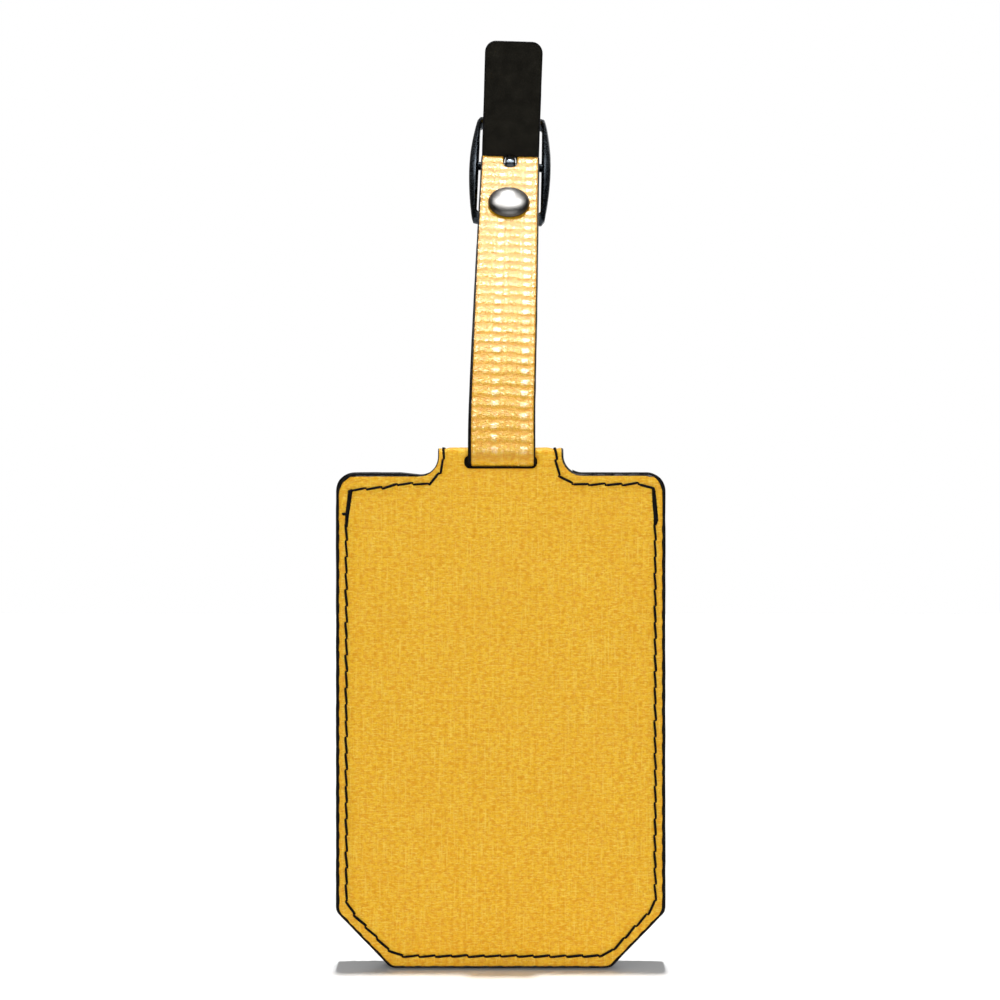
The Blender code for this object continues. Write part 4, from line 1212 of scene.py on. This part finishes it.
def build_stitching(look):
    runs = (
        ("body_stitches", side_seam(TACK_FRONT_Z[0]), cover_surface, cover_relief, ("body_thread",)),
        ("back_stitches", side_seam(TACK_BACK_Z[0]), frame_surface, frame_relief, ("back_thread",)),
        ("window_stitches", window_seam(), frame_surface, frame_relief, ("window_thread",)),
    )
    for number, (name, path, surface, relief, nodes) in enumerate(runs):
        shape = bmesh.new()
        stitch_run(shape, path, surface, relief, 1000 * number)
        thread_object(name, shape, look, *nodes)
    for side, word in ((-1, "left"), (1, "right")):
        shape = bmesh.new()
        path = over_fold(shoulder_seam(side))
        stitch_run(shape, path, cover_surface, cover_relief, 4000 + 500 * side)
        nodes = (f"shoulder_thread_{word}", f"back_shoulder_thread_{word}")
        thread_object(f"shoulder_stitches_{word}", shape, look, *nodes)
        shape = bmesh.new()
        tack(shape, FRONT_TACKS[side], cover_surface, -TACK_SINK, 61 + side)
        if side < 0:
            *place, radii = np.array(TACK_TAIL).T
            tube(shape, [Vector(p) for p in cover_surface(*place)], radii)
        thread_object(f"tack_stitches_{word}", shape, look, f"bar_tack_{word}")
        shape = bmesh.new()
        rows = [(z, -side * x, half_width) for z, x, half_width in BACK_TACK]
        tack(shape, rows, frame_surface, -TACK_SINK, 71 + side)
        thread_object(f"back_tack_stitches_{word}", shape, look, f"back_bar_tack_{word}")


# ---- pocket


def build_clear_window(look):
    """The clear sheet, a little wavy between its sewn edges."""
    low, high = (corner / MM for corner in map(Vector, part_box("card_window")))
    back = high.y - DESIGN_ORIGIN.y
    thickness = high.y - low.y
    bottom, top = low.z - TAG_LOW.z, high.z - TAG_LOW.z
    outline = rounded(rectangle(high.x, bottom, top, CLEAR_RADIUS))

    def depth(u, v):
        return polygon_depth(u, v, outline)

    def relief(u, v):
        inside = np.clip(depth(u, v) / CLEAR_WAVE_FADE, 0, 1)
        waves = value_noise(u, v, 14.0, 81) + 0.6 * value_noise(u, v, 7.0, 82)
        return CLEAR_WAVE * waves * inside - CLEAR_WAVE, np.zeros(np.shape(u))

    def surface(u, v, height):
        return np.column_stack([-u, back + height, v])

    steps = (CLEAR_STEP, INNER_STEP)
    grids = [(spaced(-high.x, high.x, step), spaced(bottom, top, step)) for step in steps]
    made = sheet_object("clear_window", *grids, depth, relief, surface, thickness, [look] * 3)
    finish_piece(made, "tag", "clear_sheet", "card_window")


# ---- strap


def direction(lean):
    """The unit (y, z) direction that leans back from upright by this angle."""
    return Vector((math.sin(lean), math.cos(lean)))


def outwards(along):
    """The side of a (y, z) direction that faces out of the strap's loop."""
    return Vector((along.y, -along.x))


def curve_through(points, first, last, step=STRAP_STATION):
    """A smooth curve that leaves the first point along one direction and ends along another."""
    middle = [(after - before).normalized() for before, after in zip(points, points[2:])]
    tangents = [first, *middle, last]
    path = []
    for p, q, u, v in zip(points, points[1:], tangents, tangents[1:]):
        third = (q - p).length / 3
        count = max(2, round(3 * third / step))
        path += interpolate_bezier(p, p + u * third, q - v * third, q, count + 1)[:-1]
    return path + [points[-1]]


def arc(centre, radius, start, turn, step=math.radians(5)):
    """Points of an arc that starts at an angle from +Y towards +Z and turns by another."""
    steps = round(abs(turn) / step)
    angles = [start + turn * i / steps for i in range(steps + 1)]
    return [centre + radius * Vector((math.cos(angle), math.sin(angle))) for angle in angles]


def rivet_point():
    """Where the rivet's axis meets the middle line of the front run."""
    return BAR - outwards(direction(FOLD_LEAN)) * FOLD_RADIUS - direction(FOLD_LEAN) * RIVET_AT


def tail_run(front):
    """The short run behind the front run, from the bar down to the strap's sewn-in end."""
    tail, distance = [], 0.0
    for station, here in enumerate(front):
        distance += (here - front[max(0, station - 1)]).length
        if distance > TAIL_LENGTH:
            break
        share = min(1.0, distance / TAIL_JOINS_AT)
        eased = share * share * (3 - 2 * share)
        offset = 2 * FOLD_RADIUS * (1 - eased) + TAIL_OFFSET * eased
        upwards = (front[max(0, station - 1)] - front[station + 1]).normalized()
        tail.append(here + outwards(upwards) * offset)
    return tail


def strap_path():
    """The strap's middle line as (y, z) points from tail to tip."""
    bend = Vector((0.0, FOLD_Z))
    front_top = BAR - outwards(direction(FOLD_LEAN)) * FOLD_RADIUS
    front_low = bend - outwards(direction(FRONT_LEAN)) * BEND_RADIUS
    rear_low = bend + outwards(direction(REAR_LEAN)) * BEND_RADIUS
    stops = [front_top, rivet_point(), *map(Vector, FRONT_RUN), front_low]
    front = curve_through(stops, -direction(FOLD_LEAN), -direction(FRONT_LEAN))
    fold = arc(BAR, FOLD_RADIUS, -FOLD_LEAN, math.pi)
    under = arc(bend, BEND_RADIUS, math.pi - FRONT_LEAN, math.pi - REAR_LEAN + FRONT_LEAN)
    free_end = curve_through([*map(Vector, FREE_END)], direction(REAR_TOP_LEAN), direction(TIP_LEAN))
    low_handle = rear_low + direction(REAR_LEAN) * REAR_HANDLES[0]
    high_handle = free_end[0] - direction(REAR_TOP_LEAN) * REAR_HANDLES[1]
    steps = round((free_end[0] - rear_low).length / STRAP_STATION)
    rear = interpolate_bezier(rear_low, low_handle, high_handle, free_end[0], steps + 1)
    path = tail_run(front)[::-1]
    for run in (fold, front, under, rear, free_end):
        path += run[1:]
    return path + [path[-1] + direction(TIP_LEAN) * TIP_RADIUS]


def leaned(x, y, z):
    """Where points of the upright strap lie once the strap leans to one side."""
    low, high = LEAN_Z
    in_bend = np.clip(z, low, high) - low
    lean = STRAP_LEAN * in_bend / (high - low)
    above = np.clip(z - high, 0, None)
    middle_x = STRAP_X + in_bend * lean / 2 + above * math.sin(STRAP_LEAN)
    middle_z = np.minimum(z, high) + above * math.cos(STRAP_LEAN)
    return np.stack([middle_x + x * np.cos(lean), y, middle_z - x * np.sin(lean)], axis=-1)


def leaned_matrix(y, z, tilt=0.0):
    """The frame of a rigid piece on the leaning part of the strap, tilted back about X."""
    turn = Matrix.Rotation(STRAP_LEAN, 4, "Y") @ Matrix.Rotation(tilt, 4, "X")
    return Matrix.Translation(Vector(leaned(0.0, y, z))) @ turn


class Route:
    """The strap's middle line, and the way out of its loop at each distance along it."""

    def __init__(self):
        path = strap_path()
        edges = [b - a for a, b in zip(path, path[1:])]
        self.lengths = np.concatenate([[0.0], np.cumsum([edge.length for edge in edges])])
        turns = zip(edges[:1] + edges, edges + edges[-1:])
        halfway = [(a.normalized() + b.normalized()).normalized() for a, b in turns]
        self.points, self.normals = np.array(path), np.array([outwards(way) for way in halfway])
        self.total = self.lengths[-1]

    def place(self, x, v, outward):
        """Points at a distance across, along and out of the strap."""
        columns = (*self.points.T, *self.normals.T)
        y, z, normal_y, normal_z = (np.interp(v, self.lengths, column) for column in columns)
        return leaned(x, y + normal_y * outward, z + normal_z * outward)

    def length_at(self, point, low, high):
        """The distance along, within a range, at which the route passes nearest a (y, z) point."""
        reach = np.hypot(*(self.points - np.array(point)).T)
        reach[(self.lengths < low) | (self.lengths > high)] = np.inf
        return self.lengths[reach.argmin()]


class Strap:
    """The strap's route, with what is cut out of it and how wide its painted edges are."""

    def __init__(self):
        self.route = Route()
        total = self.route.total
        fold_length = math.pi * FOLD_RADIUS
        fold_side = outwards(direction(FOLD_LEAN)) * FOLD_RADIUS
        fold_start = self.route.length_at(BAR + fold_side, 0, 1.5 * TAIL_LENGTH)
        fold_middle = fold_start + fold_length / 2
        rivet = rivet_point()
        tail_hole = self.route.length_at(rivet + fold_side * TAIL_OFFSET / FOLD_RADIUS, 0, fold_middle)
        self.rivet_v = self.route.length_at(rivet, fold_middle, total / 2)
        self.front = (fold_middle, self.rivet_v + (rivet.y - FOLD_Z) * 1.25)
        first = self.route.length_at(Vector((FREE_END[2][0], PRONG_HOLE_Z)), total / 2, total)
        self.holes = [(v, RIVET_HOLE_RADIUS, RIVET_HOLE_RADIUS) for v in (tail_hole, self.rivet_v)]
        self.holes.append((fold_middle, NOTCH_HALF_WIDTH, fold_length / 2 + NOTCH_REACH))
        size = (PRONG_HOLE_HALF_WIDTH, PRONG_HOLE_HALF_LENGTH)
        self.holes += [(first - i * PRONG_HOLE_SPACING, *size) for i in range(PRONG_HOLE_COUNT)]

    def outline_depth(self, x, v, inset):
        side, end = STRAP_HALF_WIDTH - inset, self.route.total - inset
        right = [(side, 0.0, TAIL_RADIUS), (side, end, TIP_RADIUS)]
        return polygon_depth(x, v, rounded(right + mirrored(right)))

    def left_paint(self, v):
        """The width of the paint on the face's left side, which widens down the front run."""
        low, high = self.front
        past_rivet, before_end = STRAP_PAINT_WIDENS
        widening = high - self.rivet_v - (past_rivet + before_end)
        share = np.clip((v - self.rivet_v - past_rivet) / widening, 0, 1)
        on_front = (v > low) & (v < high + STRAP_PAINT_WIDE_PAST)
        return np.where(on_front, STRAP_PAINT + (STRAP_PAINT_WIDE - STRAP_PAINT) * share, STRAP_PAINT)

    def holes_depth(self, x, v):
        depth = np.full(np.shape(x), np.inf)
        for middle, half_width, half_length in self.holes:
            past = np.clip(np.abs(v - middle) - (half_length - half_width), 0, None)
            depth = np.minimum(depth, np.hypot(x, past) - half_width)
        return depth

    def face_depth(self, u, v):
        painted = STRAP_HALF_WIDTH - self.left_paint(v) - u
        outline = self.outline_depth(-u, v, STRAP_PAINT)
        return np.minimum(np.minimum(outline, painted), self.holes_depth(u, v))

    def lining_depth(self, u, v):
        return np.minimum(self.outline_depth(u, v, STRAP_PAINT), self.holes_depth(u, v))

    def face_relief(self, u, v):
        weave = weave_height(-u + STRAP_WEAVE_OFFSET, v)
        depth = self.face_depth(u, v)
        rolled = STRAP_ROLL * np.clip(1 - depth / STRAP_ROLL_WIDTH, 0, 1) ** 2
        past_dent = np.clip(np.hypot(u, v - self.rivet_v) - RIVET_DENT_RADIUS, 0, None)
        pressed = RIVET_DENT * np.exp(-((past_dent / RIVET_DENT_SLOPE) ** 2))
        waves = STRAP_WAVE * value_noise(u, v, STRAP_WAVE_CELL, 91)
        return WEAVE_RELIEF * (weave - STRAP_WEAVE_MIDDLE) - rolled - pressed + waves, weave

    def lining_relief(self, u, v):
        creases = STRAP_LINING_CREASE * value_noise(u * 0.5, v, 2.2, 92)
        waves = STRAP_WAVE * value_noise(u, v, STRAP_WAVE_CELL, 93)
        depth = self.lining_depth(u, v)
        rolled = STRAP_LINING_ROLL * np.clip(1 - depth / STRAP_ROLL_WIDTH, 0, 1) ** 2
        return creases + waves - rolled, np.zeros(np.shape(u))

    def face_surface(self, u, v, height):
        return self.route.place(-u, v, PLY_OUTER + height)

    def lining_surface(self, u, v, height):
        return self.route.place(u, v, -PLY_OUTER - height)

    def build_plies(self, face_looks, lining_looks):
        ranges = ((-STRAP_HALF_WIDTH, STRAP_HALF_WIDTH), (0.0, self.route.total))
        coarse = [spaced(*ends, step) for ends, step in zip(ranges, STRAP_INNER_STEPS)]
        plies = (
            ("woven_strap", STRAP_STEP, self.face_depth, self.face_relief, self.face_surface, face_looks,
             ("coated_fabric", "strap_face")),
            ("leather_strap_lining", LINING_STEP, self.lining_depth, self.lining_relief,
             self.lining_surface, lining_looks, ("lining", "strap_lining")),
        )
        for name, step, depth, relief, surface, looks, labels in plies:
            fine = [spaced(*ends, step) for ends in ranges]
            made = sheet_object(name, fine, coarse, depth, relief, surface, PLY_OUTER - PLY_SPLIT, looks)
            finish_piece(made, "strap", *labels)

    def build_edge(self, look):
        """The painted edge: a bead up one side of the strap, round its tip and down the other."""
        straight = self.route.total - TIP_RADIUS
        climb = spaced(STRAP_EDGE_START, straight, EDGE_STEP)
        turns = np.radians(np.linspace(0, 90, 9))
        corner_x, corner_v = STRAP_HALF_WIDTH - TIP_RADIUS, straight
        sides = {}
        for side in (1, -1):
            paint = self.left_paint(climb) if side < 0 else np.full(len(climb), STRAP_PAINT)
            outer = [(side * STRAP_HALF_WIDTH, v) for v in climb]
            inner = [(side * (STRAP_HALF_WIDTH - wide), v) for v, wide in zip(climb, paint)]
            for turn in turns[1:]:
                for points, radius in ((outer, TIP_RADIUS), (inner, TIP_RADIUS - STRAP_PAINT)):
                    x = corner_x + radius * math.cos(turn)
                    points.append((side * x, corner_v + radius * math.sin(turn)))
            sides[side] = list(zip(outer, inner))
        stations = sides[1] + sides[-1][::-1]
        uneven = value_noise(np.arange(len(stations)) * EDGE_STEP, 7.0, 3.0, 95)
        section = np.array(STRAP_EDGE_SECTION)
        rings = []
        for (outer, inner), rough in zip(stations, uneven):
            outer, inner = Vector(outer), Vector(inner)
            outer += (outer - inner).normalized() * rough * STRAP_EDGE_ROUGH
            inner -= (outer - inner).normalized() * STRAP_PAINT_OVERLAP
            flat = [inner.lerp(outer, share) for share in section[:, 0]]
            x, v = np.array(flat).T
            rings.append([Vector(p) for p in self.route.place(x, v, section[:, 1] * STRAP_EDGE_HALF)])
        made = lofted("strap_painted_edge", rings, [look])
        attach(made, "strap")


# ---- hardware


def turned(name, profile, matrix, look, sides=96):
    """A round piece from a (radius, height) profile about a matrix's Z axis."""
    rings = []
    for radius, height in profile:
        turns = [math.tau * i / sides for i in range(sides)]
        ring = [Vector((radius * math.cos(t), radius * math.sin(t), height)) for t in turns]
        rings.append([matrix @ point for point in ring])
    return lofted(name, rings, [look], smooth_angle=math.radians(60))


def build_rivet(look):
    """A domed cap with a rolled rim on the face, and a flat head behind."""
    matrix = leaned_matrix(*rivet_point(), math.pi / 2 - FOLD_LEAN)
    low = PLY_OUTER + RIVET_GAP
    radius, height = RIVET_CAP_RADIUS, RIVET_CAP_HEIGHT
    cap = [(NEAR_AXIS, low + RIVET_CAP_HOLLOW)]
    cap += [(radius + out, low + up) for out, up in RIVET_RIM]
    dome = radius - RIVET_DOME_INSET
    dome_low = low + RIVET_DOME_LOW
    for turn in np.radians(np.linspace(3, 89.8, 26)):
        cap.append((dome * math.cos(turn), dome_low + (height - RIVET_DOME_LOW) * math.sin(turn)))
    finish_piece(turned("rivet_dome", cap, matrix, look), "strap", "nickel", "rivet_cap")
    finish_piece(turned("rivet_back", rivet_post(low), matrix, look), "strap", "nickel", "rivet_post")


def rivet_post(low):
    """The profile of the rivet's shank, from inside the cap, and of the flat head behind."""
    shank, radius, rounding = RIVET_POST_RADIUS, RIVET_BACK_RADIUS, RIVET_BACK_ROUNDING
    back = -TAIL_OFFSET - PLY_OUTER - RIVET_GAP
    rear = back - RIVET_BACK_THICKNESS
    top, chamfer = low + RIVET_POST_TOP, RIVET_CHAMFER
    post = [(NEAR_AXIS, top), (shank - chamfer, top), (shank, top - chamfer), (shank, back)]
    post += [(radius - chamfer, back), (radius, back - chamfer)]
    for turn in np.radians(np.linspace(0, 90, 7)):
        x, z = rounding * math.cos(turn), rounding * math.sin(turn)
        post.append((radius - rounding + x, rear + rounding - z))
    inwards, crown = RIVET_CROWN
    return post + [(radius - inwards, rear - crown), *((r, rear + z) for r, z in RIVET_DIMPLE)]


def at_bar(rings):
    """Rings given from the middle of the buckle's bar, moved to where the strap carries it."""
    matrix = leaned_matrix(*BAR)
    return [[matrix @ Vector(point) for point in ring] for ring in rings]


def frame_lean(distance):
    return FRAME_LEAN + FRAME_BEND * max(-1.0, min(1.0, distance / FRAME_BEND_LENGTH))


def frame_point(distance):
    """The (y, z) point at a distance up the frame's side from the bar."""
    point = Vector((0.0, 0.0))
    for step in range(FRAME_STEPS):
        lean = frame_lean(distance * (step + 0.5) / FRAME_STEPS)
        point += direction(lean) * distance / FRAME_STEPS
    return point


def build_buckle_frame(look):
    """A cast ring: two crescent rails that run into a rounded bar at each end."""
    low, high = FRAME_ENDS
    inner_low, inner_high = low + 2 * END_BAR_HALF_HEIGHT, high - 2 * END_BAR_HALF_HEIGHT
    inner = rectangle(FRAME_INNER_X, inner_low, inner_high, FRAME_INNER_CORNER)
    inner = rounded(inner, arc_step=math.radians(10))
    inner = resampled(inner + inner[:1], FRAME_STEP_LENGTH)[:-1]
    centre = Vector((0.0, (low + high) / 2))
    rings = []
    for near in inner:
        far = rail_edge(near, centre)
        ring = []
        for share, depth in FRAME_SECTION:
            at = near.lerp(far, share)
            back = outwards(direction(frame_lean(at.y)))
            y, z = frame_point(at.y) + back * depth * FRAME_HALF_DEPTH
            ring.append((at.x, y, z))
        rings.append(ring)
    made = lofted("buckle_casting", at_bar(rings), [look], True, FRAME_SMOOTH_ANGLE)
    finish_piece(made, "buckle", "gunmetal", "buckle_frame")


def rail_edge(near, centre):
    """The place on the frame's outer edge that lies beyond a place on its inner edge."""
    low, high = FRAME_ENDS
    if abs(near.x) > FRAME_INNER_X - RAIL_TOLERANCE:
        away = Vector((math.copysign(1.0, near.x), 0.0))
    elif abs(near.x) < FRAME_INNER_X - FRAME_INNER_CORNER:
        away = Vector((0.0, math.copysign(1.0, near.y - centre.y)))
    else:
        corner = Vector((math.copysign(FRAME_INNER_X - FRAME_INNER_CORNER, near.x), 0.0))
        from_end = 2 * END_BAR_HALF_HEIGHT + FRAME_INNER_CORNER
        corner.y = (high - from_end) if near.y > centre.y else (low + from_end)
        away = (near - corner).normalized()
    reach = 0.0
    while reach < RAIL_REACH:
        at = near + away * reach
        half = FRAME_INNER_X + FRAME_END_WIDTH + FRAME_BELLY * (1 - (at.y / high) ** 2)
        end = max(at.y - high, low - at.y) + FRAME_CORNER
        side = abs(at.x) - half + FRAME_CORNER
        outside = math.hypot(max(end, 0), max(side, 0)) + min(max(end, side), 0) - FRAME_CORNER
        if outside >= 0:
            break
        reach += max(RAIL_TOLERANCE, -0.8 * outside)
    return near + away * reach


def build_bar(look):
    matrix = leaned_matrix(*BAR) @ Matrix.Rotation(math.pi / 2, 4, "Y")
    half = FRAME_INNER_X + BAR_SEAT
    end = [(BAR_RADIUS, half - BAR_CHAMFER), (BAR_RADIUS - BAR_CHAMFER, half), (NEAR_AXIS, half)]
    profile = [(radius, -x) for radius, x in reversed(end)] + end
    finish_piece(turned("hinge_bar", profile, matrix, look, 40), "buckle", "gunmetal", "buckle_bar")


def build_prong(look):
    """A flat strip wrapped round the bar, whose free end rises through the strap."""
    inner, outer = PRONG_LOOP_RADII
    radius = (inner + outer) / 2
    wrap = arc(Vector((0, 0)), radius, *PRONG_WRAP, math.radians(6))
    shaft_points = [wrap[-1], *map(Vector, PRONG_SHAFT)]
    shaft = curve_through(shaft_points, Vector((1.0, 0.0)), PRONG_TIP_DIRECTION, PRONG_STATION)
    path = wrap[:-1] + shaft
    rings = []
    for i, here in enumerate(path):
        along = (path[min(i + 1, len(path) - 1)] - path[max(i - 1, 0)]).normalized()
        share = max(0.0, (i - len(wrap)) / (len(path) - len(wrap)))
        near_tip = min(1.0, (len(path) - 1 - i) / PRONG_TIP_STATIONS)
        round_off = math.sqrt(1 - (1 - near_tip) ** 2 * 0.75)
        half_width = PRONG_HALF_WIDTH * (1 - PRONG_TAPER * share) * round_off
        half_thickness = PRONG_HALF_THICKNESS * round_off
        ring = []
        for k in range(PRONG_SIDES):
            turn = math.tau * k / PRONG_SIDES
            x, out = math.cos(turn), math.sin(turn)
            square = 1 / max(abs(x), abs(out)) ** PRONG_SQUARENESS
            y, z = here + outwards(along) * out * square * half_thickness
            ring.append((x * square * half_width, y, z))
        rings.append(ring)
    made = lofted("wrapped_prong", at_bar(rings), [look])
    finish_piece(made, "prong", "gunmetal", "buckle_prong")


# ---- studio


def build_studio():
    camera = linked("camera", bpy.data.cameras.new("camera"))
    camera.location = row_point(*CAMERA_POINT)
    camera.rotation_euler = (math.pi / 2, 0, 0)
    camera.data.lens = CAMERA_LENS
    camera.data.clip_start = 0.01
    bpy.context.scene.camera = camera
    for name, where, size, power, target in LIGHTS:
        lamp = linked(name, bpy.data.lights.new(name, "AREA"))
        lamp.data.shape = "RECTANGLE"
        lamp.data.size, lamp.data.size_y = size
        lamp.data.energy = power
        lamp.location = where
        lamp.rotation_euler = (Vector(target) - Vector(where)).to_track_quat("-Z", "Y").to_euler()
    overhead = linked("overhead", bpy.data.lights.new("overhead", "SUN"))
    overhead.data.energy = OVERHEAD
    overhead.data.angle = OVERHEAD_SPREAD
    overhead.location.z = 1.0
    overhead.rotation_euler.x = OVERHEAD_LEAN
    build_floor()
    build_world()
    bpy.context.scene.view_settings.view_transform = "Standard"


def build_floor():
    shape = bmesh.new()
    bmesh.ops.create_grid(shape, x_segments=1, y_segments=1, size=FLOOR_SIZE)
    mesh = bpy.data.meshes.new("floor")
    shape.to_mesh(mesh)
    shape.free()
    mesh.materials.append(new_look("floor_look", FLOOR_WHITE, 1.0, Specular_IOR_Level=0.0)[0])
    floor = linked("floor", mesh)
    floor.location.z = TAG_LOW.z * MM - FLOOR_GAP


def build_world():
    """White behind the object, and a dim room that is mirrored with a softbox above its front."""
    world = bpy.data.worlds.new("studio")
    world.use_nodes = True
    bpy.context.scene.world = world
    tree = world.node_tree
    direction_in = add(tree, "TexCoord", output=0)
    x, y, z = (add(tree, "SeparateXYZ", {0: direction_in}, output=i) for i in range(3))
    room = spread(tree, y, ROOM_SPAN, ROOM)
    in_height = spread(tree, z, SOFTBOX_HEIGHT, (0, 1))
    in_front = spread(tree, maths(tree, "MULTIPLY", y, -1.0), SOFTBOX_NEARNESS, (0, 1))
    aside = maths(tree, "ABSOLUTE", x)
    in_width = spread(tree, aside, SOFTBOX_HALF_WIDTH, (0, SOFTBOX))
    box = maths(tree, "MULTIPLY", maths(tree, "MULTIPLY", in_height, in_front), in_width)
    mirrored_room = maths(tree, "ADD", spread(tree, y, ROOM_SPAN, MIRRORED_ROOM), box)
    seen, glossy = add(tree, "LightPath", output=0), add(tree, "LightPath", output=3)
    strength = add(tree, "Mix", {0: glossy, 2: room, 3: mirrored_room}, output=0, data_type="FLOAT")
    strength = add(tree, "Mix", {0: seen, 2: strength, 3: 1.0}, output=0, data_type="FLOAT")
    tree.links.new(strength, tree.nodes["Background"].inputs["Strength"])
    tree.nodes["Background"].inputs["Color"].default_value = (1, 1, 1, 1)


def main():
    build_studio()
    fabric = coated_fabric("tag_fabric", 0.42, (0.55, 0.4), (0.2, 0.3), 0.0)
    # The strap's copy of the fabric carries an even painted shade.
    strap_fabric = coated_fabric("strap_fabric", 0.45, (0.42, 0.14), (0.3, 1.2), 0.16)
    paint, thread = painted_edge(), sewing_thread()
    lining = black_leather("pocket_lining_look", False)
    leather = black_leather("strap_lining_look", True)
    nickel = polished_metal("nickel_look", NICKEL, NICKEL_DULL, 0.28, 0.1)
    gunmetal = polished_metal("gunmetal_look", GUNMETAL, GUNMETAL_DULL, 0.2, 0.14)
    build_cover([fabric, lining, paint])
    build_window_frame([fabric, lining, paint])
    build_tab_lining_and_slot_shade(lining)
    build_edge_paint(paint)
    build_stitching(thread)
    build_clear_window(clear_sheet())
    plain = {"address_card": ruled_card(), "pocket_lining": lining, "cover_stiffener": rough_board()}
    for name, look in plain.items():
        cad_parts[name].material_slots[0].material = look
    strap = Strap()
    strap.build_plies([strap_fabric, leather, paint], [leather, leather, paint])
    strap.build_edge(paint)
    build_rivet(nickel)
    build_buckle_frame(gunmetal)
    build_bar(gunmetal)
    build_prong(gunmetal)


main()
